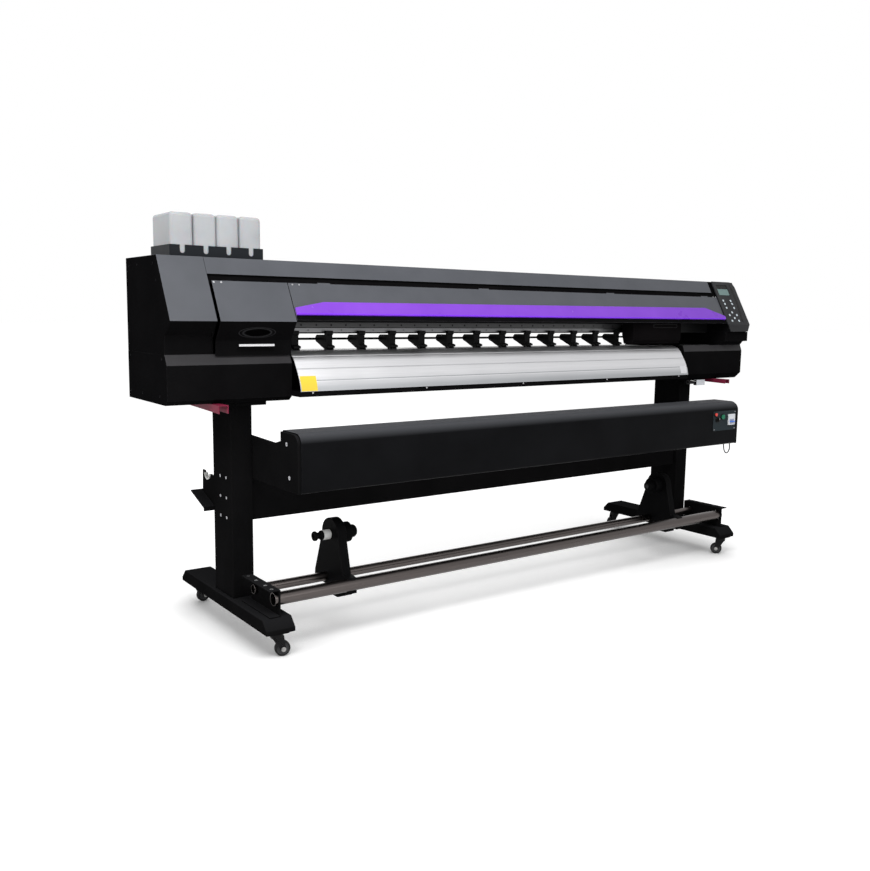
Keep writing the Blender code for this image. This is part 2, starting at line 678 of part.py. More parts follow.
def make_housing_left():
    """The left lower housing and the bay above it, whose walls carry the covers."""
    seam = LEDGE_Z - GAP
    lower = [(BODY_REAR, BODY_BOTTOM), (BODY_REAR - 0.002, seam), (-0.167, seam), (-0.185, 0.912),
             (LOWER_FRONT, 0.805), (-0.164, BODY_BOTTOM)]
    base = prism(lower, "X", -BODY_HALF, MAINTENANCE_RIGHT)
    top = BODY_TOP - SKIN - GAP
    inset = GROOVE_DEPTH + SKIN + GAP
    wall = [(0.160, seam - 0.004), (0.160, top), (slope_y(top, inset), top), (slope_y(1.050, inset), 1.050),
            (-0.166, 0.992), (-0.164, seam - 0.004)]
    outer = PANEL_RIGHT + 0.0015
    inner = MAINTENANCE_RIGHT - GAP
    walls = [prism(wall, "X", outer, outer + BAY_WALL), prism(wall, "X", inner - BAY_WALL, inner)]
    back = box(outer + 0.001, inner - 0.001, 0.155, 0.1595, seam - 0.004, top - 0.001)
    piece("housing_left", "black_paint", base, [*walls, back], [journal_hole(MAINTENANCE_RIGHT)])


def make_left_panel():
    """The left side cover: end wall, slanted front and top, open toward the bay."""
    bottom = LEDGE_Z
    outline = [(BODY_REAR - 0.002, bottom), (0.170, BODY_TOP), (SLOPE_TOP_Y, BODY_TOP),
               (SLOPE_BOTTOM_Y, SLOPE_BOTTOM), (-0.170, 1.002), (-0.167, bottom)]
    inner = [(0.170, bottom - 0.01), (0.1665, BODY_TOP - SKIN), (slope_y(BODY_TOP - SKIN, SKIN), BODY_TOP - SKIN),
             (slope_y(SLOPE_BOTTOM + 0.0005, SKIN), SLOPE_BOTTOM + 0.0005), (-0.1665, 1.0025),
             (-0.1635, bottom - 0.01)]
    shell = prism(outline, "X", -BODY_HALF, PANEL_RIGHT)
    hollow = prism(inner, "X", -BODY_HALF + SKIN, PANEL_RIGHT + 0.01)
    piece("left_panel", "grey_cover", shell, cut=[hollow])


def make_top_cover():
    """The top cover: top and rear sheets, a recessed front sheet, and the raised band on it."""
    bottom = COVER_TOP - 0.008
    g = GROOVE_DEPTH
    t = SKIN
    rear = 0.170
    outline = [(rear, REAR_OPENING_TOP), (rear, BODY_TOP), (slope_y(BODY_TOP, g), BODY_TOP),
               (slope_y(bottom, g), bottom), (slope_y(bottom, g + t), bottom),
               (slope_y(BODY_TOP - t, g + t), BODY_TOP - t), (rear - t, BODY_TOP - t), (rear - t, REAR_OPENING_TOP)]
    left = PANEL_RIGHT + GAP
    shell = prism(outline, "X", left, BLOCK_LEFT - GAP)
    band = slope_slab([(left, BAND_BOTTOM), (BAND_RIGHT, BAND_BOTTOM), (BAND_RIGHT, BODY_TOP), (left, BODY_TOP)],
                      -g - 0.001, 0.0)
    trim = box(left - 0.01, BLOCK_LEFT, -0.2, 0.2, BODY_TOP, BODY_TOP + 0.02)
    piece("top_cover", "grey_cover", shell, [band], [trim])


def knuckles(places, length):
    """Hinge barrels on the covers' axis, each with the leaf that joins it to its cover's back."""
    meshes = []
    for x in places:
        axis = (x, slope_y(HINGE_Z, HINGE_DEPTH), HINGE_Z)
        meshes.append(rod("X", axis, HINGE_RADIUS, length, 12))
        near = x - length / 2 + 0.001
        far = x + length / 2 - 0.001
        leaf = [(near, COVER_TOP - 0.014), (far, COVER_TOP - 0.014), (far, HINGE_Z), (near, HINGE_Z)]
        meshes.append(slope_slab(leaf, 0.0004 - HINGE_DEPTH - HINGE_RADIUS, -0.0015))
    return meshes


def make_maintenance_cover():
    """The hinged cover over the left bay: slanted front, under-slope and a short upright lip."""
    t = SKIN
    bottom = LEDGE_Z - 0.005
    outline = [(slope_y(COVER_TOP), COVER_TOP), (SLOPE_BOTTOM_Y, SLOPE_BOTTOM), (-0.180, 0.985), (-0.178, bottom),
               (-0.178 + t, bottom), (-0.180 + t, 0.986), (slope_y(SLOPE_BOTTOM, t), SLOPE_BOTTOM + 0.001),
               (slope_y(COVER_TOP, t), COVER_TOP)]
    hinge = (0.0, slope_y(HINGE_Z, HINGE_DEPTH), HINGE_Z)
    axis = empty("maintenance_hinge", hinge, ROOT)
    shift = Matrix.Translation(-Vector(hinge))
    shell = prism(outline, "X", MAINTENANCE_LEFT, MAINTENANCE_RIGHT - GAP)
    hinges = knuckles((-1.190, -1.035), 0.030)
    for mesh in (shell, *hinges):
        mesh.transform(shift)
    piece("maintenance_cover", "grey_cover", shell, hinges, parent=axis)
    x0 = -1.170
    x1 = -1.050
    z = 0.971
    bar = box(x0, x1, -0.1935, -0.1880, z - 0.0035, z + 0.0035)
    posts = [box(x, x + 0.008, -0.1890, -0.1796 - GAP, z - 0.003, z + 0.003)
             for x in (x0 + 0.004, x1 - 0.012)]
    for mesh in (bar, *posts):
        mesh.transform(shift)
    piece("maintenance_handle", "silver", bar, posts, parent=axis)


def make_front_cover():
    """The long hinged front cover, with the raised purple moulding along its lower edge."""
    t = SKIN
    left = HEAD_LEFT
    hinge = (0.0, slope_y(HINGE_Z, HINGE_DEPTH), HINGE_Z)
    axis = empty("front_hinge", hinge, ROOT)
    shift = Matrix.Translation(-Vector(hinge))
    low = 1.050
    sheet = slope_slab([(left, low), (COVER_RIGHT, low), (COVER_RIGHT, COVER_TOP), (left, COVER_TOP)], -t, 0.0)
    end = 1.2165
    radius = 0.0085
    nose = [(x, z) for x, z in arc((end - radius, 1.0735), radius, -90, 60, 5)]
    moulding = [(left + 0.002, 1.087), (left + 0.002, 1.065), *nose, (1.092, 1.115), (-0.874, 1.106)]
    strip = slope_slab(moulding, -0.001, 0.006)
    lip_y = slope_y(low)
    lip = box(left, COVER_RIGHT, lip_y + 0.001, lip_y + 0.014, low - 0.0005, low + 0.003)
    hinges = knuckles((-0.850, -0.170, 0.510, 1.130), 0.050)
    for mesh in (sheet, strip, lip, *hinges):
        mesh.transform(shift)
    piece("front_cover", "grey_cover", sheet, [strip, lip, *hinges], parent=axis)


def make_housing_right():
    """The right housing: the lower body, the end block that carries the console, and the cap bay."""
    lower = [(BODY_REAR, BODY_BOTTOM), (BODY_REAR - 0.002, RIGHT_LEDGE), (-0.169, RIGHT_LEDGE), (-0.179, 0.921),
             (-0.179, 0.818), (-0.150, BODY_BOTTOM)]
    base = prism(lower, "X", HEAD_RIGHT, BODY_HALF)
    upper = [(0.172, 0.980), (0.170, BODY_TOP), (SLOPE_TOP_Y, BODY_TOP), (SLOPE_BOTTOM_Y, SLOPE_BOTTOM),
             (FACET_Y, FACET_BOTTOM), (-0.2065, 1.010), (-0.2065, 0.980)]
    block = prism(upper, "X", BLOCK_LEFT, CONSOLE_RIGHT)
    nose = [(BODY_REAR - 0.003, RIGHT_LEDGE - 0.006), (0.1722, 1.010), (-0.207, 1.010), (-0.207, 0.967),
            (-0.183, 0.965), (-0.168, RIGHT_LEDGE - 0.001), (-0.168, RIGHT_LEDGE - 0.006)]
    plinth = prism(nose, "X", BLOCK_LEFT - 0.0002, BODY_HALF - 0.0005)
    x, y, z = LEVER_PIVOT
    boss = box(x - 0.011, x + 0.011, -0.1440, -0.1200, z - 0.010, BODY_BOTTOM + 0.002)
    pin = rod("Y", (x, y + 0.002, z), LEVER_PIN, 0.020, 12)
    well = box(0.993, 1.207, -0.168, -0.098, 0.925, RIGHT_LEDGE + 0.01)
    piece("housing_right", "black_paint", base, [plinth, block, boss, pin], [well, journal_hole(HEAD_RIGHT)])


def make_console():
    """The control console: a slab on the slanted front, folded back below, with a display window."""
    right = CONSOLE_RIGHT - 0.0005
    left = CONSOLE_LEFT
    top = BODY_TOP - 0.001
    corner = 0.030
    proud = 0.005
    low = SLOPE_BOTTOM
    outline = [(left, top), (left, low), (right, low)]
    outline += arc((right - corner, top - corner), corner, 0, 90, 5)
    slab = slope_slab(outline, GAP, proud)
    facet = [(slope_y(low + 0.010, 0.0005 - proud), low + 0.010), (slope_y(low, -proud), low),
             (FACET_Y - proud, FACET_BOTTOM), (FACET_Y - 2 * GAP, FACET_BOTTOM),
             (SLOPE_BOTTOM_Y - 2 * GAP, low), (slope_y(low + 0.010, -3 * GAP), low + 0.010)]
    fold = prism(facet, "X", left, right)
    wedge = [(left - 0.010, low), (left + 0.0005, low), (1.250, FACET_BOTTOM - 0.001), (left - 0.010, 1.000)]
    slant = prism(wedge, "Y", FACET_Y - 0.030, FACET_Y + 0.010)
    window = slope_slab([(1.238, 1.174), (1.318, 1.174), (1.318, 1.224), (1.238, 1.224)], 0.003, 0.02)
    piece("console", "black_plastic", slab, [fold], [slant, window])


CHANNEL_DEPTH = {"left": 0.026, "right": 0.019}


def make_channel(name, side):
    """A red folded channel under the body, open downward and shallower toward the rear."""
    x0, x1 = mirrored(side, 1.221, 1.253)
    top = BODY_BOTTOM - GAP
    bottom = top - CHANNEL_DEPTH[name]
    wall = SKIN
    bar = prism([(-0.225, bottom), (-0.225, top), (0.110, top), (0.110, bottom + 0.009)], "X", x0, x1)
    hollow = box(x0 + wall, x1 - wall, -0.240, 0.160, bottom - 0.01, top - wall)
    piece(f"channel_{name}", "crimson", bar, cut=[hollow])


def make_chassis():
    """The chassis under the platen, with the front tongue that holds the guide's lower edge."""
    left = MAINTENANCE_RIGHT + GAP
    right = HEAD_RIGHT - GAP
    beam = box(left, right, -0.100, 0.160, 0.797, PLATEN_TOP - 0.0365)
    tongue = box(left, GUIDE_RIGHT, -0.2385, -0.099, 0.8055, 0.8225)
    piece("chassis_beam", "black_paint", beam, [tongue])


def make_platen():
    """The flat bed under the media, with the trough that the grit roller turns in."""
    left = MAINTENANCE_RIGHT + GAP
    right = HEAD_RIGHT - GAP
    bed = box(left, right, -0.128, 0.160, PLATEN_TOP - 0.036, PLATEN_TOP)
    reach = GRIT_RADIUS + RUN
    trough = box(left - 0.01, right + 0.01, GRIT_Y - reach, GRIT_Y + reach, GRIT_Z - reach, PLATEN_TOP + 0.01)
    piece("platen", "black_paint", bed, cut=[trough])


def make_front_guide():
    """The curved aluminium guide that leads the media down to the dryer."""
    left = MAINTENANCE_RIGHT + 0.003
    outer = [(-0.131, 0.950), (-0.155, 0.9455), (-0.176, 0.938), (-0.192, 0.923), (-0.205, 0.904), (-0.219, 0.882),
             (-0.230, 0.860), (-0.2365, 0.842), (-0.2405, 0.8230)]
    t = SKIN
    inner = [(-0.2375, 0.8230), (-0.2335, 0.841), (-0.2272, 0.8585), (-0.2164, 0.8803), (-0.2026, 0.902),
             (-0.1898, 0.9208), (-0.1745, 0.9353), (-0.154, 0.9425), (-0.131, 0.950 - t)]
    piece("front_guide", "silver", prism(outer + inner, "X", left, GUIDE_RIGHT))


# --- Print head beam, pinch arms and carriage ------------------------------------------------------
BEAM_FRONT = -0.098
BEAM_REAR = -0.030
BEAM_BOTTOM = 1.004
BEAM_TOP = 1.060
ARM_SHAFT_Y = -0.045
ARM_SHAFT_Z = 0.985
ARM_SHAFT_RADIUS = 0.004
PULLEY_RADIUS = 0.012
PULLEY_Z = BODY_TOP - 0.072
BELT_Y0 = -0.097
BELT_Y1 = -0.089
BELT_THICKNESS = 0.0015
IDLER_X = -0.955
MOTOR_X = 1.192
CARRIAGE_X0 = 0.620
CARRIAGE_X1 = 0.930


def make_pinch_beam():
    """The main beam: it carries the carriage rail, the pinch arms' shaft and the belt's idler."""
    left = MAINTENANCE_RIGHT + GAP
    right = BLOCK_LEFT - GAP
    beam = box(left, right, BEAM_FRONT, BEAM_REAR, BEAM_BOTTOM, BEAM_TOP)
    rail = box(left + 0.03, right - 0.02, -0.075, -0.055, BEAM_TOP - 0.001, BEAM_TOP + 0.010)
    joined = [rail]
    for x in (-0.970, 0.955):
        joined.append(box(x, x + 0.006, ARM_SHAFT_Y - 0.011, ARM_SHAFT_Y + 0.011, ARM_SHAFT_Z - 0.010,
                          BEAM_BOTTOM + 0.001))
    back = -0.016
    for x in (IDLER_X, MOTOR_X):
        joined.append(box(x - 0.024, x + 0.024, BEAM_REAR - 0.001, back,
                          BEAM_BOTTOM + 0.002, BEAM_TOP - 0.002))
        joined.append(box(x - 0.023, x + 0.023, back - 0.004, back - 0.001,
                          BEAM_TOP - 0.010, PULLEY_Z + 0.020))
    middle = (BELT_Y0 + BELT_Y1) / 2
    idler = rod("Y", (IDLER_X, middle, PULLEY_Z), PULLEY_RADIUS, BELT_Y1 - BELT_Y0 + 0.002, 20)
    stub = rod("Y", (IDLER_X, (middle + back - 0.002) / 2, PULLEY_Z), 0.004, back - 0.002 - middle, 12)
    cut = [rod("X", (x + 0.003, ARM_SHAFT_Y, ARM_SHAFT_Z), ARM_SHAFT_RADIUS + GAP, 0.02, 16)
           for x in (-0.970, 0.955)]
    piece("pinch_beam", "black_paint", beam, [*joined, idler, stub], cut)


def make_pinch_arms():
    """The row of spring arms on their common shaft, each ending in a small pinch roller."""
    shaft = (0.0, ARM_SHAFT_Y, ARM_SHAFT_Z)
    left = MAINTENANCE_RIGHT + 0.006
    right = HEAD_RIGHT - 0.006
    bar = rod("X", ((left + right) / 2, ARM_SHAFT_Y, ARM_SHAFT_Z), ARM_SHAFT_RADIUS, right - left, 16)
    width = 0.026
    roller = 0.007
    roller_z = PLATEN_TOP + 0.0012 + roller
    outline = [(-0.038, 0.992), (-0.046, 0.999), (-0.098, 0.999), (-0.1010, 1.001), (-0.1010, 1.014),
               (-0.1160, 1.014), (-0.1160, 1.002), (-0.1105, 0.998), (-0.1105, 0.967), (-0.128, 0.963),
               (-0.128, 0.956), (-0.099, 0.953), (-0.080, 0.960), (-0.058, 0.970), (-0.041, 0.976),
               (-0.036, 0.983)]
    arms = []
    for x in PINCH_X:
        arms.append(prism(outline, "X", x - width / 2, x + width / 2))
        arms.append(rod("X", (x, GRIT_Y, roller_z), roller, 0.030, 12))
    piece("pinch_arms", "black_plastic", bar, arms, centre=shaft)


def make_grit_roller():
    """The driven feed roller that runs the width of the platen, journalled in both housings."""
    left = MAINTENANCE_RIGHT + RUN
    right = HEAD_RIGHT - RUN
    middle = ((left + right) / 2, GRIT_Y, GRIT_Z)
    roller = rod("X", middle, GRIT_RADIUS, right - left, 20)
    reach = JOURNAL_REACH - RUN
    journal = rod("X", middle, JOURNAL_RADIUS, right - left + 2 * (reach + RUN), 16)
    piece("grit_roller", "steel", roller, [journal], centre=middle)


def make_lift_lever():
    """The lever that raises the pinch arms: a short black arm with a white grip, on a pin."""
    pivot = LEVER_PIVOT
    thick = 0.006
    y0 = pivot[1] - thick / 2
    y1 = pivot[1] + thick / 2
    outline = arc((pivot[0], pivot[2]), 0.0095, 90, 260, 6)
    outline += [(1.100, 0.7705), (1.110, 0.7715), (1.110, 0.7815), (1.100, 0.7840)]
    arm = prism(outline, "Y", y0, y1)
    grip = box(1.096, 1.157, pivot[1] - 0.0085, pivot[1] + 0.0085, 0.7635, 0.7885)
    hole = rod("Y", pivot, LEVER_PIN + GAP, 0.03, 16)
    piece("lift_lever", "black_plastic", arm, [grip], [hole], centre=pivot)


def make_carriage():
    """The print head carriage: it hangs in front of the beam and rides on the rail on its top."""
    top = PULLEY_Z - 0.028
    front = slope_y(1.075, 0.0125)
    outline = [(-0.136, 0.9585), (-0.1245, 0.998), (-0.1245, BEAM_TOP + 0.012),
               (-0.038, BEAM_TOP + 0.012), (-0.038, top), (slope_y(top, 0.0125), top), (front, 1.075),
               (front, 0.975), (front + 0.012, 0.9585)]
    body = prism(outline, "X", CARRIAGE_X0, CARRIAGE_X1)
    middle = (CARRIAGE_X0 + CARRIAGE_X1) / 2
    clamp_top = PULLEY_Z - PULLEY_RADIUS - BELT_THICKNESS - 2 * GAP
    clamp = box(middle - 0.02, middle + 0.02, BELT_Y0 - 0.001, BELT_Y1 + 0.001, top - 0.001, clamp_top)
    keel = box(CARRIAGE_X0 + 0.02, CARRIAGE_X1 - 0.02, -0.074 + 0.0005, -0.056 - 0.0005, BEAM_TOP + 0.0105,
               BEAM_TOP + 0.0125)
    piece("carriage", "black_plastic", body, [clamp, keel], bevel=0.003)


def make_capping_station():
    """The cap block that rises to seal the heads when the carriage is parked over it."""
    floor = 0.925 + GAP
    block = box(1.000, 1.200, -0.160, -0.106, floor, 0.942)
    caps = []
    for x in (1.050, 1.150):
        rim = box(x - 0.030, x + 0.030, -0.156, -0.110, 0.941, 0.949)
        caps.append(rim)
    cups = [box(x - 0.026, x + 0.026, -0.152, -0.114, 0.944, 0.960) for x in (1.050, 1.150)]
    piece("capping_station", "rubber", block, caps, cups)


def make_belt_drive():
    """The timing belt loop over the idler, and the motor that drives it."""
    inner = PULLEY_RADIUS + GAP
    outer = inner + BELT_THICKNESS

    def loop(radius):
        return (arc((MOTOR_X, PULLEY_Z), radius, -90, 90, 8) + arc((IDLER_X, PULLEY_Z), radius, 90, 270, 8))

    belt = prism(loop(outer), "Y", BELT_Y0, BELT_Y1)
    piece("belt", "rubber", belt, cut=[prism(loop(inner), "Y", BELT_Y0 - 0.01, BELT_Y1 + 0.01)])
    mount = -0.020 - GAP
    can = box(MOTOR_X - 0.021, MOTOR_X + 0.021, -0.070, mount, PULLEY_Z - 0.019, PULLEY_Z + 0.023)
    middle = (BELT_Y0 + BELT_Y1) / 2
    shaft = rod("Y", (MOTOR_X, (middle - 0.069) / 2, PULLEY_Z), 0.003, -0.069 - middle, 12)
    pulley = rod("Y", (MOTOR_X, middle, PULLEY_Z), PULLEY_RADIUS, BELT_Y1 - BELT_Y0 + 0.002, 20)
    piece("drive_motor", "black_paint", can, [shaft, pulley])


# --- Ink supply ------------------------------------------------------------------------------------
def make_ink_rack():
    """The open tray that holds the bottles, with a U-shaped notch in its front wall at each one."""
    half = BOTTLE_WIDTH / 2
    wall = SKIN
    left = BOTTLE_X[0] - half - RUN
    right = BOTTLE_X[-1] + half + RUN
    tray = box(left - wall, right + wall, RACK_FRONT - wall, RACK_REAR + wall, RACK_BOTTOM, RACK_TOP)
    pocket = box(left, right, RACK_FRONT, RACK_REAR, RACK_FLOOR, RACK_TOP + 0.01)
    notches = []
    for x in BOTTLE_X:
        outline = [(x + 0.008, RACK_TOP + 0.01), (x - 0.008, RACK_TOP + 0.01)]
        outline += arc((x, RACK_TOP - 0.017), 0.008, 180, 360, 6)
        notches.append(prism(outline, "Y", RACK_FRONT - 0.02, RACK_FRONT + 0.01))
    piece("ink_rack", "black_plastic", tray, cut=[pocket, *notches])


def make_ink_bottle(number, x):
    """A translucent square ink bottle standing in the rack."""
    half = BOTTLE_WIDTH / 2
    floor = RACK_FLOOR + GAP
    front = RACK_FRONT + RUN
    rear = RACK_REAR - RUN
    mesh = box(x - half, x + half, front, rear, floor, floor + BOTTLE_HEIGHT)
    shape = piece(f"ink_bottle_{number}", "bottle", mesh)
    edge = shape.modifiers.new("rounding", "BEVEL")
    edge.width = 0.012
    edge.segments = 3


def make_body():
    make_housing_left()
    make_left_panel()
    make_top_cover()
    make_maintenance_cover()
    make_front_cover()
    make_housing_right()
    make_console()
    for name, side in SIDES:
        make_channel(name, side)
    make_chassis()
    make_platen()
    make_front_guide()
    make_pinch_beam()
    make_pinch_arms()
    make_grit_roller()
    make_lift_lever()
    make_carriage()
    make_capping_station()
    make_belt_drive()
    make_ink_rack()
    for number, x in enumerate(BOTTLE_X, 1):
        make_ink_bottle(number, x)


make_stand()
make_take_up()
for side_name, side_sign in SIDES:
    make_feed_bracket(side_name, side_sign)
make_dryer()
make_body()
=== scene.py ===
import bmesh
import bpy
import json
from math import atan2, cos, pi, radians, sin
from mathutils import Matrix, Vector


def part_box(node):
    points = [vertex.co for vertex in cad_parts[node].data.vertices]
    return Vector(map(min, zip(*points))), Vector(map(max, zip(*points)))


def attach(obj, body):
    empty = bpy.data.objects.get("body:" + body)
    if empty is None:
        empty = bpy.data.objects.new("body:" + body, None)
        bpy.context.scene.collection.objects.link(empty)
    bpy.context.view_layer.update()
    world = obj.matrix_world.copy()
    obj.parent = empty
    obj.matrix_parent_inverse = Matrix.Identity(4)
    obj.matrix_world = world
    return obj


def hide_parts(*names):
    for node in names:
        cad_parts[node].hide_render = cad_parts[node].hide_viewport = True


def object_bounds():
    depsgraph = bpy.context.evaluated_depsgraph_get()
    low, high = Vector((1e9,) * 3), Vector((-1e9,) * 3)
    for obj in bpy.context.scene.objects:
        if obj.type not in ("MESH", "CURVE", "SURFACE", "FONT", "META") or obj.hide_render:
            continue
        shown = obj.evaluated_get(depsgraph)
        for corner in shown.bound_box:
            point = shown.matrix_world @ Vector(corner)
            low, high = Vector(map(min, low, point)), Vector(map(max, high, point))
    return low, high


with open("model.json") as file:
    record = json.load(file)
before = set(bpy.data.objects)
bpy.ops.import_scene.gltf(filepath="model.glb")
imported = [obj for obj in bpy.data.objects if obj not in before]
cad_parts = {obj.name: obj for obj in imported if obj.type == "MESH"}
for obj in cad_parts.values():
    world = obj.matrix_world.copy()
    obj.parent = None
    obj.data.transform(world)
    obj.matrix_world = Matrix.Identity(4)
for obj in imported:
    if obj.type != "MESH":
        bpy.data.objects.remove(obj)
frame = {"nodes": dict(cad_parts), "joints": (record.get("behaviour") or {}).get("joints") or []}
cad_low, cad_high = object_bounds()


# --- Studio ----------------------------------------------------------------------------------------
# The printer stands on a pale seamless floor under large soft lamps, seen from its front left at
# the height of its covers.  The floor darkens where little sky reaches it.
scene = bpy.context.scene
scene.view_settings.view_transform = "Standard"

camera_place = Vector((-2.321, -2.776, 1.080))
camera_yaw = radians(36.061)
camera_pitch = radians(7.778)
camera_roll = radians(0.801)

level = Vector((cos(camera_yaw), -sin(camera_yaw), 0.0))
ahead = Vector((sin(camera_yaw), cos(camera_yaw), 0.0))
forward = ahead * cos(camera_pitch) - Vector((0.0, 0.0, sin(camera_pitch)))
upright = level.cross(forward)
right = level * cos(camera_roll) + upright * sin(camera_roll)
up = upright * cos(camera_roll) - level * sin(camera_roll)
camera = bpy.data.objects.new("camera", bpy.data.cameras.new("camera"))
camera.matrix_world = Matrix.Translation(camera_place) @ Matrix((right, up, -forward)).transposed().to_4x4()
camera.data.sensor_fit = "HORIZONTAL"
camera.data.lens = 37.247
camera.data.clip_end = 200.0
scene.collection.objects.link(camera)
scene.camera = camera


def new_material(name):
    """An empty node material with its output, ready for its shader."""
    made = bpy.data.materials.new(name)
    made.use_nodes = True
    made.node_tree.nodes.clear()
    made.node_tree.nodes.new("ShaderNodeOutputMaterial")
    return made


def add_node(tree, kind, inputs=None, **settings):
    """A node with its settings; each input gets a value or another node's output."""
    node = tree.nodes.new(kind)
    for name, value in settings.items():
        setattr(node, name, value)
    for label, value in (inputs or {}).items():
        if isinstance(value, bpy.types.NodeSocket):
            tree.links.new(value, node.inputs[label])
        else:
            node.inputs[label].default_value = value
    return node


def math_node(tree, operation, first, second):
    """One Math node on two sockets or numbers; returns its output."""
    return add_node(tree, "ShaderNodeMath", {0: first, 1: second}, operation=operation).outputs[0]


def ranged(tree, value, low, high, from_low=0.0, from_high=1.0):
    """A mask spread between two values."""
    limits = {"From Min": from_low, "From Max": from_high, "To Min": low, "To Max": high}
    return add_node(tree, "ShaderNodeMapRange", {"Value": value, **limits}).outputs["Result"]


def seen_directly(tree):
    """1 on rays that should see the pale surroundings: from the camera, in reflections, through glass."""
    path = tree.nodes.new("ShaderNodeLightPath").outputs
    either = math_node(tree, "MAXIMUM", path["Is Camera Ray"], path["Is Glossy Ray"])
    return math_node(tree, "MAXIMUM", either, path["Is Transmission Ray"])


world = bpy.data.worlds.new("studio")
scene.world = world
world.use_nodes = True
tree = world.node_tree
backdrop = tree.nodes["Background"]
backdrop.inputs["Color"].default_value = (1.0, 1.0, 1.0, 1.0)
tree.links.new(ranged(tree, seen_directly(tree), 0.55, 1.0), backdrop.inputs["Strength"])

floor_mesh = bpy.data.meshes.new("floor")
far = 60.0
floor_mesh.from_pydata([(-far, -far, 0), (far, -far, 0), (far, far, 0), (-far, far, 0)], [], [(0, 1, 2, 3)])
floor = bpy.data.objects.new("floor", floor_mesh)
scene.collection.objects.link(floor)
floor_paint = new_material("floor_paint")
tree = floor_paint.node_tree
matt = add_node(tree, "ShaderNodeBsdfDiffuse", {"Color": (0.80, 0.80, 0.80, 1.0)})
open_sky = add_node(tree, "ShaderNodeAmbientOcclusion", {"Distance": 0.45}, samples=8)
deepened = math_node(tree, "POWER", open_sky.outputs["AO"], 2.5)
shown = math_node(tree, "MULTIPLY", seen_directly(tree), deepened)
glow = add_node(tree, "ShaderNodeEmission", {"Strength": math_node(tree, "MULTIPLY", shown, 0.585)})
blend = add_node(tree, "ShaderNodeAddShader", {0: matt.outputs[0], 1: glow.outputs[0]})
tree.links.new(blend.outputs[0], tree.nodes["Material Output"].inputs["Surface"])
floor_mesh.materials.append(floor_paint)


def add_lamp(name, place, aim, width, height, power):
    """A rectangular soft lamp that faces a point."""
    lamp = bpy.data.lights.new(name, "AREA")
    lamp.shape = "RECTANGLE"
    lamp.size = width
    lamp.size_y = height
    lamp.energy = power
    holder = bpy.data.objects.new(name, lamp)
    holder.location = place
    holder.rotation_euler = (Vector(aim) - Vector(place)).to_track_quat("-Z", "Y").to_euler()
    scene.collection.objects.link(holder)


add_lamp("overhead_lamp", (-1.5, -1.9, 3.3), (-0.8, 0.0, 0.9), 2.6, 1.5, 80.0)
add_lamp("left_lamp", (-4.6, -1.2, 2.2), (-0.8, 0.0, 0.7), 1.8, 2.2, 40.0)
add_lamp("front_lamp", (0.2, -4.8, 2.2), (0.0, 0.0, 0.6), 2.6, 2.0, 38.0)
add_lamp("rear_lamp", (1.4, 4.8, 2.6), (0.0, 0.0, 0.7), 2.6, 2.0, 40.0)


# --- Dryer's lead ----------------------------------------------------------------------------------
# A thin black rubber lead that leaves the dryer's underside and goes back into it in a short hanging
# loop.  It is a swept round section with a faint mould grain.
def shader_of(made, **values):
    """A Principled shader wired to the material's output, with its plain values set."""
    inputs = {socket.replace("_", " "): value for socket, value in values.items()}
    tree = made.node_tree
    shader = add_node(tree, "ShaderNodeBsdfPrincipled", inputs)
    tree.links.new(shader.outputs[0], tree.nodes["Material Output"].inputs["Surface"])
    return shader


def new_group(name, numbers, results):
    """A shader node group with named number sockets, each input with its default."""
    group = bpy.data.node_groups.new(name, "ShaderNodeTree")
    for label, value in numbers.items():
        socket = group.interface.new_socket(label, in_out="INPUT", socket_type="NodeSocketFloat")
        socket.default_value = value
    for label in results:
        group.interface.new_socket(label, in_out="OUTPUT", socket_type="NodeSocketFloat")
    enter = group.nodes.new("NodeGroupInput")
    leave = group.nodes.new("NodeGroupOutput")
    return group, enter.outputs, leave.inputs


def noise_node(tree, vector, scale, detail):
    """A noise pattern on a coordinate; the scale may be a socket."""
    inputs = {"Vector": vector, "Scale": scale, "Detail": detail}
    return add_node(tree, "ShaderNodeTexNoise", inputs).outputs["Fac"]


def make_surface_group():
    """Handling and casting marks: broad smudges, and a height of fine grain over them."""
    numbers = {"Grain Scale": 900.0, "Smudge Scale": 7.0}
    group, given, results = new_group("surface_marks", numbers, ("Smudge", "Height"))
    place = group.nodes.new("ShaderNodeTexCoord").outputs["Object"]
    broad = noise_node(group, place, given["Smudge Scale"], 5.0)
    group.links.new(math_node(group, "SUBTRACT", broad, 0.5), results["Smudge"])
    fine = noise_node(group, place, given["Grain Scale"], 2.0)
    soft = math_node(group, "MULTIPLY", broad, 0.25)
    group.links.new(math_node(group, "ADD", fine, soft), results["Height"])
    return group


def make_edge_group():
    """Edges and corners, paler as rubbed paint and as painted highlight: 1 close to them, broken up
    by a fine pattern, 0 elsewhere.
    """
    group, given, results = new_group("edge_wear_and_highlight_mask", {"Reach": 0.0015}, ("Wear And Highlight",))
    rounded = add_node(group, "ShaderNodeBevel", {"Radius": given["Reach"]}, samples=4)
    flat = group.nodes.new("ShaderNodeNewGeometry")
    normals = {0: rounded.outputs["Normal"], 1: flat.outputs["Normal"]}
    agree = add_node(group, "ShaderNodeVectorMath", normals, operation="DOT_PRODUCT").outputs["Value"]
    strong = math_node(group, "MULTIPLY", math_node(group, "SUBTRACT", 0.995, agree), 6.0)
    place = group.nodes.new("ShaderNodeTexCoord").outputs["Object"]
    mask = math_node(group, "MULTIPLY", strong, noise_node(group, place, 60.0, 4.0))
    limit = add_node(group, "ShaderNodeClamp", {"Value": mask})
    group.links.new(limit.outputs[0], results["Wear And Highlight"])
    return group


surface_group = make_surface_group()
edge_group = make_edge_group()


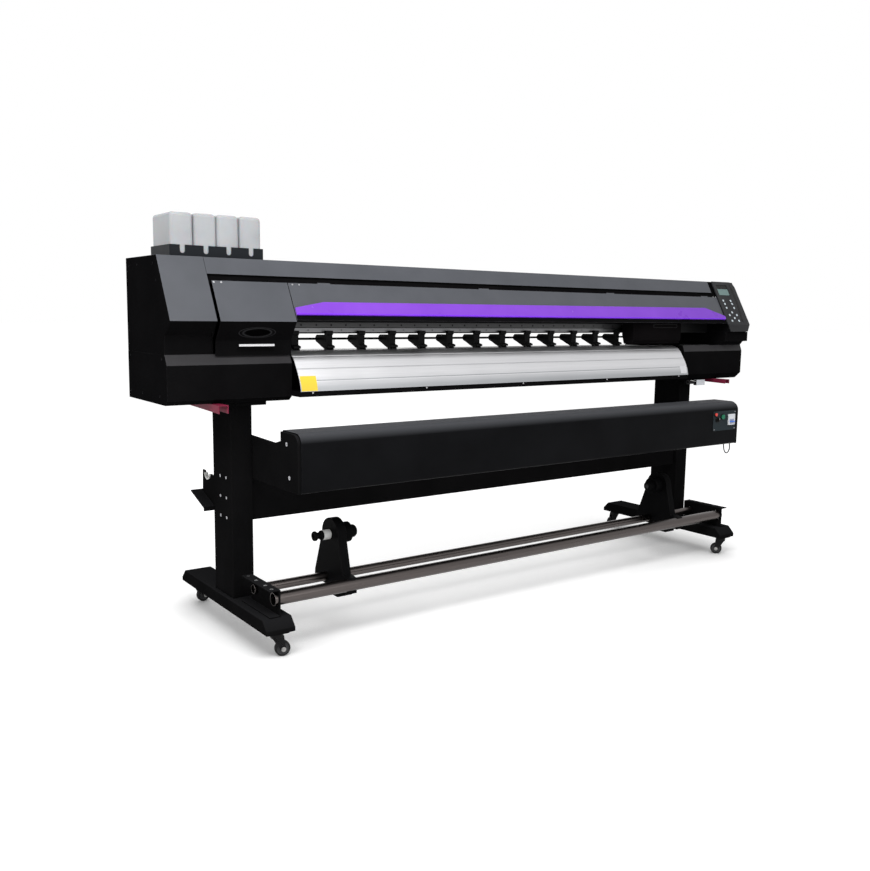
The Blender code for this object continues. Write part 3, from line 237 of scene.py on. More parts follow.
def use_group(tree, group, **values):
    """The group placed in a material with its own values."""
    inputs = {socket.replace("_", " "): value for socket, value in values.items()}
    return add_node(tree, "ShaderNodeGroup", inputs, node_tree=group).outputs


def mix_colours(tree, mask, first, second):
    """Two colours, or colour sockets, mixed by a mask; returns the result."""
    first, second = ((*part, 1.0) if isinstance(part, tuple) else part for part in (first, second))
    inputs = {"Factor": mask, 6: first, 7: second}
    return add_node(tree, "ShaderNodeMix", inputs, data_type="RGBA").outputs[2]


def add_bump(tree, shader, height, strength, distance):
    """A bump on the shader's normal."""
    node = add_node(tree, "ShaderNodeBump", {"Strength": strength, "Distance": distance, "Height": height})
    tree.links.new(node.outputs["Normal"], shader.inputs["Normal"])


def upward(tree):
    """How far a face looks up: 1 on a level top, 0 on an upright face."""
    normal = tree.nodes.new("ShaderNodeNewGeometry").outputs["Normal"]
    return add_node(tree, "ShaderNodeSeparateXYZ", {0: normal}).outputs["Z"]


def coated(name, dark, light, rough=(0.36, 0.50), grain=900.0, bump=0.10, edge_wear_and_highlight=(0.10, 0.10, 0.105), level=0.5,
           reach=0.0012, painted_top_highlight=None):
    """A painted or moulded surface: mottled, unevenly glossy and finely grained, paler at its edges as rubbed
    paint and as painted highlight, and, where a top colour is given, paler on upward faces as a painted
    highlight."""
    made = new_material(name)
    tree = made.node_tree
    shader = shader_of(made, Specular_IOR_Level=level)
    marks = use_group(tree, surface_group, Grain_Scale=grain)
    edges = use_group(tree, edge_group, Reach=reach)
    tone = ranged(tree, marks["Smudge"], 0.0, 1.0, -0.25, 0.25)
    body = mix_colours(tree, tone, dark, light)
    # Painted highlight: faces that look upward are mixed toward the paler top colour, as if lit from above.
    if painted_top_highlight:
        body = mix_colours(tree, ranged(tree, upward(tree), 0.0, 1.0, 0.15, 0.95), body, painted_top_highlight)
    # Edges are mixed toward a paler colour: partly rubbed paint, partly painted highlight.
    tree.links.new(mix_colours(tree, edges["Wear And Highlight"], body, edge_wear_and_highlight), shader.inputs["Base Color"])
    tree.links.new(ranged(tree, marks["Smudge"], *rough, -0.25, 0.25), shader.inputs["Roughness"])
    add_bump(tree, shader, marks["Height"], bump, 0.0002)
    return made


rubber = coated("black_rubber", (0.016, 0.016, 0.017), (0.026, 0.026, 0.028), (0.55, 0.72), 1400.0, 0.15)

cable_low, cable_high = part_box("cable_loop")
cable_radius = 0.0024
cable_y = (cable_low.y + cable_high.y) / 2
dryer_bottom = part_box("dryer_housing")[0].z
cable_route = [(1.0160, dryer_bottom - 0.0003), (1.0162, 0.5180), (1.0205, 0.5000), (1.0300, 0.4870),
               (1.0420, 0.4830), (1.0530, 0.4890), (1.0600, 0.5020), (1.0590, 0.5150), (1.0580, 0.5200),
               (1.0580, dryer_bottom - 0.0003)]


def smooth_route(points, parts):
    """Points along a Catmull-Rom curve through given points."""
    padded = [points[0], *points, points[-1]]
    route = []
    for a, b, c, d in zip(padded, padded[1:], padded[2:], padded[3:]):
        a, b, c, d = Vector(a), Vector(b), Vector(c), Vector(d)
        for step in range(parts):
            t = step / parts
            route.append(0.5 * (2 * b + (c - a) * t + (2 * a - 5 * b + 4 * c - d) * t * t
                                + (3 * b - a - 3 * c + d) * t ** 3))
    route.append(Vector(points[-1]))
    return route


cable_points = smooth_route([(x, cable_y, z) for x, z in cable_route], 3)
cable_curve = bpy.data.curves.new("dryer_lead", "CURVE")
cable_curve.dimensions = "3D"
cable_curve.bevel_depth = cable_radius
cable_curve.bevel_resolution = 4
cable_curve.use_fill_caps = True
spline = cable_curve.splines.new("POLY")
spline.points.add(len(cable_points) - 1)
for point, place in zip(spline.points, cable_points):
    point.co = (*place, 1.0)
spline.use_smooth = True
lead = bpy.data.objects.new("dryer_lead", cable_curve)
scene.collection.objects.link(lead)
cable_curve.materials.append(rubber)
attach(lead, "machine")
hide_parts("cable_loop")


# --- Stand -----------------------------------------------------------------------------------------
# Two box-section feet, two columns and a cross-beam, welded from sheet steel and powder coated black.
# Each piece keeps its built shape; the feet and columns get broken edges, and socket screws hold the joints.
foot_low, foot_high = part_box("foot_left")
stand_y = (foot_low.y + foot_high.y) / 2


def mesh_from(builder, name):
    """The shape in the builder as a named mesh."""
    mesh = bpy.data.meshes.new(name)
    builder.to_mesh(mesh)
    builder.free()
    return mesh


def merged_copy(node):
    """A CAD node's shape as one clean mesh: merged corners and flat faces without inner edges."""
    builder = bmesh.new()
    builder.from_mesh(frame["nodes"][node].data)
    bmesh.ops.remove_doubles(builder, verts=builder.verts, dist=0.00002)
    bmesh.ops.dissolve_limit(builder, angle_limit=radians(0.5), verts=builder.verts, edges=builder.edges)
    return mesh_from(builder, f"{node}_shape")


def place_piece(name, mesh, body, materials, replaced=(), smooth=32.0):
    """A finished piece: smooth where it is round, riding on its body, standing for its CAD nodes."""
    mesh.shade_smooth()
    mesh.set_sharp_from_angle(angle=radians(smooth))
    mesh.materials.clear()
    for made in materials:
        mesh.materials.append(made)
    shape = bpy.data.objects.new(name, mesh)
    scene.collection.objects.link(shape)
    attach(shape, body)
    if replaced:
        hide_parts(*replaced)
    return shape


def break_edges(shape, width, segments=2, angle=32.0):
    """Rounds the piece's edges, as a folded or moulded piece has them."""
    edge = shape.modifiers.new("edges", "BEVEL")
    edge.width = width
    edge.segments = segments
    edge.limit_method = "ANGLE"
    edge.angle_limit = radians(angle)
    edge.harden_normals = True
    edge.use_clamp_overlap = True
    return shape


def dress(node, body, finish, edge=0.0, segments=2):
    """A CAD node redrawn with its finish and, where it is folded or moulded, rounded edges."""
    shape = place_piece(f"{node}_finished", merged_copy(node), body, [finish], [node])
    if edge:
        break_edges(shape, edge, segments)
    return shape


# Upward faces get a slightly paler colour as a painted highlight; edges are paler as rubbed paint and painted
# highlight.
powder_coat = coated("black_powder_coat", (0.0046, 0.0046, 0.0048), (0.0072, 0.0070, 0.0074), (0.46, 0.60),
                     1100.0, 0.16, (0.030, 0.030, 0.032), 0.0, painted_top_highlight=(0.014, 0.014, 0.015))

for side in ("left", "right"):
    dress(f"foot_{side}", "machine", powder_coat, 0.0025)
    dress(f"column_{side}", "machine", powder_coat, 0.0020)
dress("cross_beam", "machine", powder_coat)


def new_growth(name, wanted, on_points=True):
    """A geometry tree with named inputs, each with its default; returns it and its group input's outputs."""
    tree = bpy.data.node_groups.new(name, "GeometryNodeTree")
    if on_points:
        tree.interface.new_socket("Points", in_out="INPUT", socket_type="NodeSocketGeometry")
    tree.interface.new_socket("Geometry", in_out="OUTPUT", socket_type="NodeSocketGeometry")
    for label, value in wanted.items():
        kind = {float: "NodeSocketFloat", int: "NodeSocketInt"}.get(type(value), "NodeSocketMaterial")
        socket = tree.interface.new_socket(label, in_out="INPUT", socket_type=kind)
        if value is not None:
            socket.default_value = value
    return tree, tree.nodes.new("NodeGroupInput").outputs


def stand_on(tree, points, shape, finish, rotation=None, smooth=False):
    """Stands the shape on the corners of a cloud, makes the copies real and gives them their finish."""
    inputs = {"Points": points, "Instance": shape}
    if rotation:
        inputs["Rotation"] = rotation
    copies = add_node(tree, "GeometryNodeInstanceOnPoints", inputs).outputs["Instances"]
    made = add_node(tree, "GeometryNodeRealizeInstances", {"Geometry": copies}).outputs["Geometry"]
    if smooth:
        made = add_node(tree, "GeometryNodeSetShadeSmooth", {"Geometry": made}).outputs["Geometry"]
    coat = add_node(tree, "GeometryNodeSetMaterial", {"Geometry": made, "Material": finish})
    add_node(tree, "NodeGroupOutput", {"Geometry": coat.outputs["Geometry"]})


def combined(tree, **parts):
    """A vector from its parts; returns its output."""
    return add_node(tree, "ShaderNodeCombineXYZ", parts).outputs[0]


def drum(tree, sides, radius, depth):
    """A cylinder in a geometry tree; returns its mesh."""
    inputs = {"Vertices": sides, "Radius": radius, "Depth": depth}
    return add_node(tree, "GeometryNodeMeshCylinder", inputs).outputs["Mesh"]


def moved(tree, shape, **ways):
    """A shape moved, turned or scaled; returns it."""
    return add_node(tree, "GeometryNodeTransform", {"Geometry": shape, **ways}).outputs["Geometry"]


def cloud_of(tree, given):
    """The points that a tree was given."""
    return add_node(tree, "GeometryNodeMeshToPoints", {"Mesh": given["Points"]}).outputs["Points"]


def grown(name, tree, values, points):
    """Runs a geometry tree on a cloud of points and keeps the plain mesh it makes."""
    cloud = bpy.data.meshes.new(f"{name}_points")
    cloud.from_pydata([tuple(place) for place in points], [], [])
    seed = bpy.data.objects.new(name, cloud)
    scene.collection.objects.link(seed)
    step = seed.modifiers.new("growth", "NODES")
    step.node_group = tree
    for item in tree.interface.items_tree:
        if item.in_out == "INPUT" and item.name in values:
            step[item.identifier] = values[item.name]
    graph = bpy.context.evaluated_depsgraph_get()
    mesh = bpy.data.meshes.new_from_object(seed.evaluated_get(graph))
    bpy.data.objects.remove(seed)
    return mesh


def make_screw_tree():
    """Button-head screws standing on points: a low dome with a hexagon socket, facing +Z before turning."""
    wanted = {"Radius": 0.004, "Height": 0.0018, "Turn X": 0.0, "Turn Y": 0.0, "Turn Z": 0.0, "Finish": None}
    tree, given = new_growth("screw_heads", wanted)
    radius, height = given["Radius"], given["Height"]
    head = drum(tree, 18, radius, height)
    crown = drum(tree, 18, math_node(tree, "MULTIPLY", radius, 0.72),
                 math_node(tree, "MULTIPLY", height, 1.5))
    socket = drum(tree, 6, math_node(tree, "MULTIPLY", radius, 0.42),
                  math_node(tree, "MULTIPLY", height, 4.0))
    raised = combined(tree, Z=math_node(tree, "MULTIPLY", height, 2.2))
    socket = moved(tree, socket, Translation=raised)
    union = add_node(tree, "GeometryNodeMeshBoolean", operation="UNION", solver="EXACT")
    for part in (head, crown):
        tree.links.new(part, union.inputs["Mesh 2"])
    cut = add_node(tree, "GeometryNodeMeshBoolean", operation="DIFFERENCE", solver="EXACT")
    tree.links.new(union.outputs["Mesh"], cut.inputs["Mesh 1"])
    tree.links.new(socket, cut.inputs["Mesh 2"])
    turn = combined(tree, **{axis: given[f"Turn {axis}"] for axis in "XYZ"})
    angle = add_node(tree, "FunctionNodeEulerToRotation", {0: turn}).outputs["Rotation"]
    stand_on(tree, cloud_of(tree, given), cut.outputs["Mesh"], given["Finish"], angle)
    return tree


screw_tree = make_screw_tree()


def add_screws(name, points, body, finish, radius, height, turn=(0.0, 0.0, 0.0)):
    """A set of like screws on one body, all facing one way."""
    values = {"Radius": radius, "Height": height, "Turn X": turn[0], "Turn Y": turn[1], "Turn Z": turn[2],
              "Finish": finish}
    mesh = grown(name, screw_tree, values, points)
    return place_piece(name, mesh, body, [finish])


def metal(name, colour, rough, grain, along=(1.0, 1.0, 1.0), bump=0.05, contrast=0.12, upright=None):
    """Bare metal whose grain may be drawn out along one axis, unevenly polished, and, if a colour is given
    for that, darker where the sheet stands upright as painted shade."""
    made = new_material(name)
    tree = made.node_tree
    shader = shader_of(made, Metallic=1.0)
    place = tree.nodes.new("ShaderNodeTexCoord").outputs["Object"]
    drawn = add_node(tree, "ShaderNodeMapping", {"Scale": along, "Vector": place})
    lines = noise_node(tree, drawn.outputs["Vector"], grain, 3.0)
    marks = use_group(tree, surface_group, Smudge_Scale=9.0)
    dark = tuple(value * (1.0 - contrast) for value in colour)
    light = tuple(min(1.0, value * (1.0 + contrast)) for value in colour)
    body = mix_colours(tree, lines, dark, light)
    # Painted shade: upright faces are mixed toward the darker colour given for them.
    if upright:
        body = mix_colours(tree, ranged(tree, upward(tree), 1.0, 0.0, 0.10, 0.46), body, upright)
    tree.links.new(body, shader.inputs["Base Color"])
    sum_marks = math_node(tree, "ADD", ranged(tree, lines, -0.05, 0.05), marks["Smudge"])
    tree.links.new(ranged(tree, sum_marks, *rough, -0.25, 0.25), shader.inputs["Roughness"])
    add_bump(tree, shader, lines, bump, 0.0001)
    return made


zinc = metal("zinc_plated_steel", (0.50, 0.50, 0.52), (0.26, 0.42), 500.0)
black_screw = coated("blackened_screw", (0.03, 0.03, 0.032), (0.05, 0.05, 0.052), (0.30, 0.42), 900.0, 0.05)

column_half = 0.0375
for side, sign in (("left", -1), ("right", 1)):
    low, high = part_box(f"foot_{side}")
    outer = (low.x + high.x) / 2 + sign * column_half
    rows = [(outer, stand_y + y, z) for z in (0.530, 0.462, 0.395) for y in (0.010, -0.039)]
    add_screws(f"column_screws_{side}", rows, "machine", zinc, 0.0048, 0.0022,
               (0.0, sign * pi / 2, 0.0))


# --- Castors ---------------------------------------------------------------------------------------
# Twin-cheek swivel castors: pressed black forks, solid rubber tyres on dark nylon hubs, and a steel
# cap on each end of the axle.
castor_black = coated("castor_black", (0.0070, 0.0070, 0.0075), (0.0120, 0.0120, 0.0125), (0.34, 0.46),
                      1000.0, 0.08, level=0.06)
tyre_rubber = coated("tyre_rubber", (0.010, 0.010, 0.011), (0.018, 0.018, 0.018), (0.60, 0.78), 700.0, 0.22,
                     (0.05, 0.047, 0.045), 0.08)
hub_nylon = coated("hub_nylon", (0.030, 0.030, 0.032), (0.048, 0.048, 0.050), (0.40, 0.55), 800.0, 0.06,
                   (0.12, 0.12, 0.12), 0.10)
bright_steel = metal("bright_steel", (0.30, 0.296, 0.29), (0.18, 0.32), 350.0)


def lathe(name, profile, place, axis, sides=40):
    """A turned shape about an axis: (radius, distance along it) points, outer side first."""
    turn = Vector((0.0, 0.0, 1.0)).rotation_difference(Vector(axis)).to_matrix().to_4x4()
    builder = bmesh.new()
    corners = [builder.verts.new((radius, 0.0, height)) for radius, height in profile]
    edges = [builder.edges.new(pair) for pair in zip(corners, corners[1:])]
    bmesh.ops.spin(builder, geom=corners + edges, axis=(0, 0, 1), cent=(0, 0, 0), steps=sides, angle=2 * pi)
    bmesh.ops.remove_doubles(builder, verts=builder.verts, dist=0.00002)
    bmesh.ops.recalc_face_normals(builder, faces=builder.faces)
    mesh = mesh_from(builder, name)
    mesh.transform(Matrix.Translation(place) @ turn)
    return mesh


def joined(name, meshes):
    """Several meshes as one."""
    builder = bmesh.new()
    for mesh in meshes:
        builder.from_mesh(mesh)
    return mesh_from(builder, name)


def assign_by(mesh, rule):
    """Gives each face the material number that the rule returns for its centre and normal."""
    for face in mesh.polygons:
        face.material_index = rule(Vector(face.center), Vector(face.normal))


joints = {joint["name"]: joint for joint in frame["joints"]}
tyre_half = 0.010
hub_radius = 0.0188
cap_out = tyre_half + 0.0079
side_wall = [(0.0120, 0.0), (0.0125, 0.0006), (0.0140, 0.0020), (0.0185, 0.0022), (0.0192, 0.0006),
             (0.0215, 0.0001), (0.0234, 0.0012), (0.0247, 0.0036), (0.0250, 0.0060)]
tyre = [(0.0043, tyre_half)] + [(radius, tyre_half - sunk) for radius, sunk in side_wall]
tyre += [(radius, -out) for radius, out in tyre[::-1]] + tyre[:1]
axle_cap = [(0.0, 0.0025), (0.0030, 0.0025), (0.0046, 0.0015), (0.0050, 0.0), (0.0078, 0.0),
            (0.0078, -0.0008), (0.0, -0.0008)]
for corner in ("front_left", "front_right", "rear_left", "rear_right"):
    dress(f"castor_fork_{corner}", f"swivel_{corner}", castor_black, 0.0008)
    spin = joints[f"wheel_{corner}_spin"]
    hub = Vector(spin["pos_m"])
    axle = Vector(spin["axis"])

    def hub_rule(centre, _):
        """Nylon within the hub's radius, rubber outside it."""
        across = centre - hub
        return 1 if (across - axle * across.dot(axle)).length < hub_radius else 0

    wheel = place_piece(f"castor_wheel_{corner}_finished", lathe(f"wheel_{corner}", tyre, hub, axle),
                        f"wheel_{corner}", [tyre_rubber, hub_nylon], [f"castor_wheel_{corner}"])
    assign_by(wheel.data, hub_rule)
    caps = [lathe(f"axle_cap_{corner}", axle_cap, hub + axle * face * cap_out, axle * face, 24)
            for face in (-1, 1)]
    place_piece(f"axle_caps_{corner}", joined(f"axle_caps_{corner}", caps), f"swivel_{corner}",
                [bright_steel])


# --- Take-up ---------------------------------------------------------------------------------------
# Two ground steel tubes in folded channels, with a cast tower at each end that slides along them.
# The left tower has a white nylon collar and a black winding knob; both have flanged core chucks.
take_up_steel = metal("ground_steel_tube", (0.088, 0.077, 0.074), (0.24, 0.34), 260.0, (0.06, 1.0, 1.0),
                      0.03)
cast_black = coated("cast_black_plastic", (0.0034, 0.0034, 0.0037), (0.0056, 0.0056, 0.0060), (0.38, 0.52),
                    1300.0, 0.20, (0.035, 0.035, 0.035), 0.01)
white_nylon = coated("white_nylon", (0.62, 0.62, 0.60), (0.72, 0.72, 0.71), (0.38, 0.50), 900.0, 0.06,
                     (0.78, 0.78, 0.77))

wall = 0.002
bevel = 0.0005
for name in ("front", "rear"):
    low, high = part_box(f"tube_{name}")
    middle = (low + high) / 2
    radius = (high.z - low.z) / 2
    half = (high.x - low.x) / 2
    section = [(radius - bevel, half), (radius, half - bevel), (radius, bevel - half),
               (radius - bevel, -half), (radius - wall, -half), (radius - wall, half),
               (radius - bevel, half)]
    tube = lathe(f"tube_{name}", section, middle, (1.0, 0.0, 0.0), 64)
    place_piece(f"tube_{name}_finished", tube, "machine", [take_up_steel], [f"tube_{name}"])

for side, sign in (("left", -1), ("right", 1)):
    dress(f"tube_bracket_{side}", "machine", powder_coat, 0.0012)
    low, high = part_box(f"tube_bracket_{side}")
    middle = (low.x + high.x) / 2 + sign * 0.004
    tops = [(middle, low.y + part * (high.y - low.y), high.z) for part in (0.08, 0.30, 0.62, 0.90)]
    add_screws(f"bracket_screws_{side}", tops, "machine", black_screw, 0.0055, 0.0030)
    dress(f"tower_{side}", f"tower_{side}", cast_black, 0.0025, 3)
    dress(f"chuck_{side}", f"spindle_{side}", cast_black, 0.0006)
    tower_low, tower_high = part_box(f"tower_{side}")
    chuck_low, chuck_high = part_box(f"chuck_{side}")
    axis_y = (chuck_low.y + chuck_high.y) / 2
    axis_z = (chuck_low.z + chuck_high.z) / 2
    outer = tower_low.x if sign < 0 else tower_high.x
    sleeve = [(0.0090, 0.0004), (0.0160, 0.0004), (0.0170, -0.0004), (0.0170, -0.0255), (0.0160, -0.0268),
              (0.0158, -0.0268), (0.0158, -0.0005), (0.0090, -0.0005), (0.0090, 0.0004)]
    collar = lathe(f"collar_{side}", sleeve, (outer + sign * 0.0002, axis_y, axis_z), (sign, 0.0, 0.0), 40)
    place_piece(f"tower_collar_{side}", collar, f"tower_{side}", [white_nylon if sign < 0 else cast_black])
    inner = chuck_high.x if sign < 0 else chuck_low.x
    boss = [(0.0, 0.0012), (0.0075, 0.0012), (0.0090, 0.0004), (0.0090, -0.0004), (0.0, -0.0004)]
    button = lathe(f"chuck_boss_{side}", boss, (inner, axis_y, axis_z), (-sign, 0.0, 0.0), 32)
    place_piece(f"chuck_boss_{side}", button, f"spindle_{side}", [hub_nylon])

knob_low, knob_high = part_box("tension_knob")
knob_middle = (knob_low + knob_high) / 2
knob_half = (knob_high.x - knob_low.x) / 2


def make_knob_tree():
    """Grip ribs round the two flanges of the winding knob, on a ring of points."""
    tree, given = new_growth("knob_ribs", {"Count": 18, "Radius": 0.0153, "Rib": 0.0012, "Length": 0.007,
                                           "Shift": 0.0, "Finish": None}, on_points=False)
    ring = add_node(tree, "GeometryNodeMeshCircle", {"Vertices": given["Count"], "Radius": given["Radius"]})
    rib = moved(tree, drum(tree, 8, given["Rib"], given["Length"]),
                Translation=combined(tree, Z=given["Shift"]))
    stand_on(tree, ring.outputs["Mesh"], rib, given["Finish"])
    return tree


dress("tension_knob", "spindle_left", cast_black, 0.0008)
knob_tree = make_knob_tree()
for number, shift in enumerate((-(knob_half - 0.0052), knob_half - 0.0042)):
    ribs = grown(f"knob_ribs_{number}", knob_tree, {"Shift": shift, "Finish": cast_black},
                 [(0.0, 0.0, 0.0)])
    turn = Vector((0.0, 0.0, 1.0)).rotation_difference(Vector((1.0, 0.0, 0.0))).to_matrix().to_4x4()
    ribs.transform(Matrix.Translation(knob_middle) @ turn)
    place_piece(f"knob_ribs_{number}", ribs, "spindle_left", [cast_black])


# --- Rear feed brackets ----------------------------------------------------------------------------
# Folded sheet brackets behind the columns, powder coated, each with a pale nylon half-round seat for
# the media bar in its cheek.
def prism(name, near, far, open_ends=False):
    """A closed solid between two like loops; a horseshoe's ends are filled strip by strip."""
    builder = bmesh.new()
    near, far = ([builder.verts.new(place) for place in loop] for loop in (near, far))
    count = len(near)
    for i in range(count):
        j = (i + 1) % count
        builder.faces.new((near[i], near[j], far[j], far[i]))
    for loop in (near, far):
        if not open_ends:
            builder.faces.new(loop)
            continue
        for i in range(count // 2 - 1):
            j = count - 1 - i
            builder.faces.new((loop[i], loop[i + 1], loop[j - 1], loop[j]))
    bmesh.ops.recalc_face_normals(builder, faces=builder.faces)
    return mesh_from(builder, name)


def arc_points(middle, radius, start, end, steps):
    """Points on an arc, angles in degrees."""
    angles = [radians(start + (end - start) * i / steps) for i in range(steps + 1)]
    return [(middle[0] + radius * cos(a), middle[1] + radius * sin(a)) for a in angles]


seat_place = (stand_y + 0.125, 0.520)
seat_section = arc_points(seat_place, 0.0220, -180, 0, 15) + arc_points(seat_place, 0.0180, 0, -180, 15)
for side, sign in (("left", -1), ("right", 1)):
    dress(f"feed_bracket_{side}", "machine", powder_coat, 0.0006, 1)
    cheek_x = sign * 1.150
    near, far = ([(cheek_x + half, y, z) for y, z in seat_section] for half in (-0.006, 0.006))
    seat = prism(f"bar_seat_{side}", near, far, open_ends=True)
    place_piece(f"bar_seat_{side}", seat, "machine", [white_nylon])


# --- Dryer -----------------------------------------------------------------------------------------
# A long sheet-steel hood rolled over at its top front edge, powder coated, between two side plates
# that bolt to the columns.  It is drawn again with a true roll so that its highlight runs clean.
# Upward faces, along the top roll, get a much paler colour: a painted highlight.
dryer_coat = coated("dryer_powder_coat", (0.0040, 0.0041, 0.0046), (0.0062, 0.0064, 0.0072), (0.34, 0.44),
                    1000.0, 0.12, (0.030, 0.030, 0.034), 0.015, painted_top_highlight=(0.062, 0.064, 0.070))


def extruded(name, outline, x0, x1):
    """A closed (y, z) outline drawn out along X, with both ends closed."""
    return prism(name, *([(x, y, z) for y, z in outline] for x in (x0, x1)))


dryer_low, dryer_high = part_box("dryer_housing")
hood_radius = 0.035
toe_radius = 0.010
hood = [(dryer_high.y, dryer_low.z), (dryer_high.y, dryer_high.z)]
hood += arc_points((dryer_low.y + hood_radius, dryer_high.z - hood_radius), hood_radius, 90, 180, 24)
hood += arc_points((dryer_low.y + toe_radius, dryer_low.z + toe_radius), toe_radius, 180, 270, 8)
place_piece("dryer_hood", extruded("dryer_hood", hood, dryer_low.x, dryer_high.x), "machine", [dryer_coat],
            ["dryer_housing"])
for side, sign in (("left", -1), ("right", 1)):
    dress(f"dryer_arm_{side}", "machine", powder_coat, 0.0010)
    low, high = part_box(f"dryer_arm_{side}")
    outer = low.x if sign < 0 else high.x
    bolts = [(outer, stand_y + y, z) for y, z in ((-0.332, 0.673), (-0.349, 0.570))]
    add_screws(f"dryer_bolts_{side}", bolts, "machine", zinc, 0.0065, 0.0030,
               (0.0, sign * pi / 2, 0.0))


# --- Dryer's back ----------------------------------------------------------------------------------
# The hood's flat back is louvred: rows of short pressed slats let the warm air circulate.
def make_louvre_tree():
    """Pressed louvres on points: a low rounded hood, longer than it is tall."""
    tree, given = new_growth("louvres", {"Length": 0.050, "Height": 0.005, "Depth": 0.003, "Finish": None})
    size = combined(tree, X=given["Height"], Y=given["Depth"], Z=given["Length"])
    slat = moved(tree, drum(tree, 12, 0.5, 1.0), Scale=size)
    lying = moved(tree, slat, Rotation=(0.0, pi / 2, 0.0))
    stand_on(tree, cloud_of(tree, given), lying, given["Finish"])
    return tree


louvre_tree = make_louvre_tree()
louvre_places = [(dryer_low.x + 0.12 + 0.20 * group + 0.060 * column, dryer_high.y,
                  dryer_low.z + 0.055 + 0.016 * row)
                 for group in range(10) for column in range(2) for row in range(5)]
louvres = grown("dryer_louvres", louvre_tree, {"Finish": dryer_coat}, louvre_places)
place_piece("dryer_louvres", louvres, "machine", [dryer_coat])


# --- Dryer's control plate -------------------------------------------------------------------------
# A grey printed plate with a red push button, a black selector, a green lamp button in a black
# collar, and a white two-pole breaker with a blue toggle.
plate_grey = coated("control_plate_grey", (0.017, 0.024, 0.028), (0.025, 0.033, 0.037), (0.36, 0.48),
                    1500.0, 0.05, (0.07, 0.075, 0.08), 0.03)
gloss_black = coated("gloss_black_plastic", (0.005, 0.005, 0.005), (0.008, 0.008, 0.008), (0.20, 0.32),
                     1000.0, 0.03, (0.03, 0.03, 0.03), 0.10)
button_red = coated("button_red", (0.50, 0.025, 0.020), (0.62, 0.045, 0.035), (0.22, 0.34), 1000.0, 0.03,
                    (0.70, 0.15, 0.12))
button_green = coated("button_green", (0.004, 0.12, 0.060), (0.008, 0.17, 0.085), (0.20, 0.32), 1000.0,
                      0.03, (0.05, 0.30, 0.18), 0.20)
breaker_white = coated("breaker_white", (0.56, 0.58, 0.62), (0.68, 0.70, 0.73), (0.32, 0.44), 1200.0, 0.04,
                       (0.75, 0.76, 0.78))
toggle_blue = coated("toggle_blue", (0.030, 0.14, 0.62), (0.06, 0.20, 0.75), (0.24, 0.36), 1000.0, 0.03,
                     (0.2, 0.35, 0.8))


def box_builder(low, high):
    """A rectangular block between two corners, ready to be worked on."""
    builder = bmesh.new()
    bmesh.ops.create_cube(builder, size=1.0)
    bmesh.ops.scale(builder, vec=Vector(high) - Vector(low), verts=builder.verts)
    bmesh.ops.translate(builder, vec=(Vector(high) + Vector(low)) / 2, verts=builder.verts)
    return builder


def bar(name, low, high):
    """A closed rectangular bar between two corners."""
    return mesh_from(box_builder(low, high), name)


plate = dress("control_plate", "machine", plate_grey, 0.0004)
plate.data.materials.append(gloss_black)
plate_low, plate_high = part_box("control_plate")
print_depth = 0.0024


def plate_rule(centre, _):
    """Gloss black on what stands proud of the printed plate."""
    return 1 if centre.y < plate_high.y - print_depth else 0


assign_by(plate.data, plate_rule)
dress("red_button", "red_button", button_red, 0.0012, 3)
dress("green_button", "green_button", button_green, 0.0014, 3)
dress("selector_knob", "selector_knob", gloss_black, 0.0010, 3)
dress("breaker", "machine", breaker_white, 0.0010, 3)
dress("breaker_toggle", "breaker_toggle", toggle_blue, 0.0006)
selector_low, selector_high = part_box("selector_knob")
pointer_middle = Vector(((selector_low.x + selector_high.x) / 2, selector_low.y - 0.0001,
                         selector_high.z - 0.0050))
pointer_half = Vector((0.0006, 0.00015, 0.00325))
pointer = bar("selector_pointer", pointer_middle - pointer_half, pointer_middle + pointer_half)
place_piece("selector_pointer", pointer, "selector_knob", [white_nylon])
plate_corners = [(x, plate_low.y + 0.0035, z) for x in (plate_low.x + 0.006, plate_high.x - 0.006)
                 for z in (plate_low.z + 0.006, plate_high.z - 0.006)]
add_screws("control_plate_screws", plate_corners[::2] + [plate_corners[3]], "machine", zinc,
           0.0022, 0.0010, (pi / 2, 0.0, 0.0))


# --- Lower housings --------------------------------------------------------------------------------
# Two deep sheet-steel bodies at the ends carry the machine.  They are painted satin black, and their
# sloping shoulder, which catches the light, is given a dark grey as a painted highlight.  They hold
# the service bay, the cap bay and the drive.
body_black = coated("body_satin_black", (0.0036, 0.0035, 0.0038), (0.0058, 0.0056, 0.0060), (0.44, 0.56),
                    1300.0, 0.12, (0.030, 0.030, 0.032), 0.0)
# A paler grey copy of the black paint for the sloping shoulder: painted highlight.
shoulder_painted_highlight = coated("shoulder_black_painted_highlight", (0.023, 0.022, 0.024), (0.033, 0.032, 0.034), (0.36, 0.48),
                       1300.0, 0.12, (0.07, 0.07, 0.07), 0.08)

left_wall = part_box("housing_left")[0].x
right_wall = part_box("housing_right")[1].x
seam_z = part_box("left_panel")[0].z


def finished(node, body, materials, rule, edge=0.0, segments=2):
    """A CAD node redrawn with several finishes, each face's chosen by the rule."""
    shape = dress(node, body, materials[0], edge, segments)
    for made in materials[1:]:
        shape.data.materials.append(made)
    assign_by(shape.data, rule)
    return shape


def is_shoulder(centre, normal):
    """1 on the narrow sloping faces at the top of a lower housing's front."""
    return 1 if normal.y < -0.2 and normal.z > 0.25 and centre.z < seam_z + 0.02 else 0


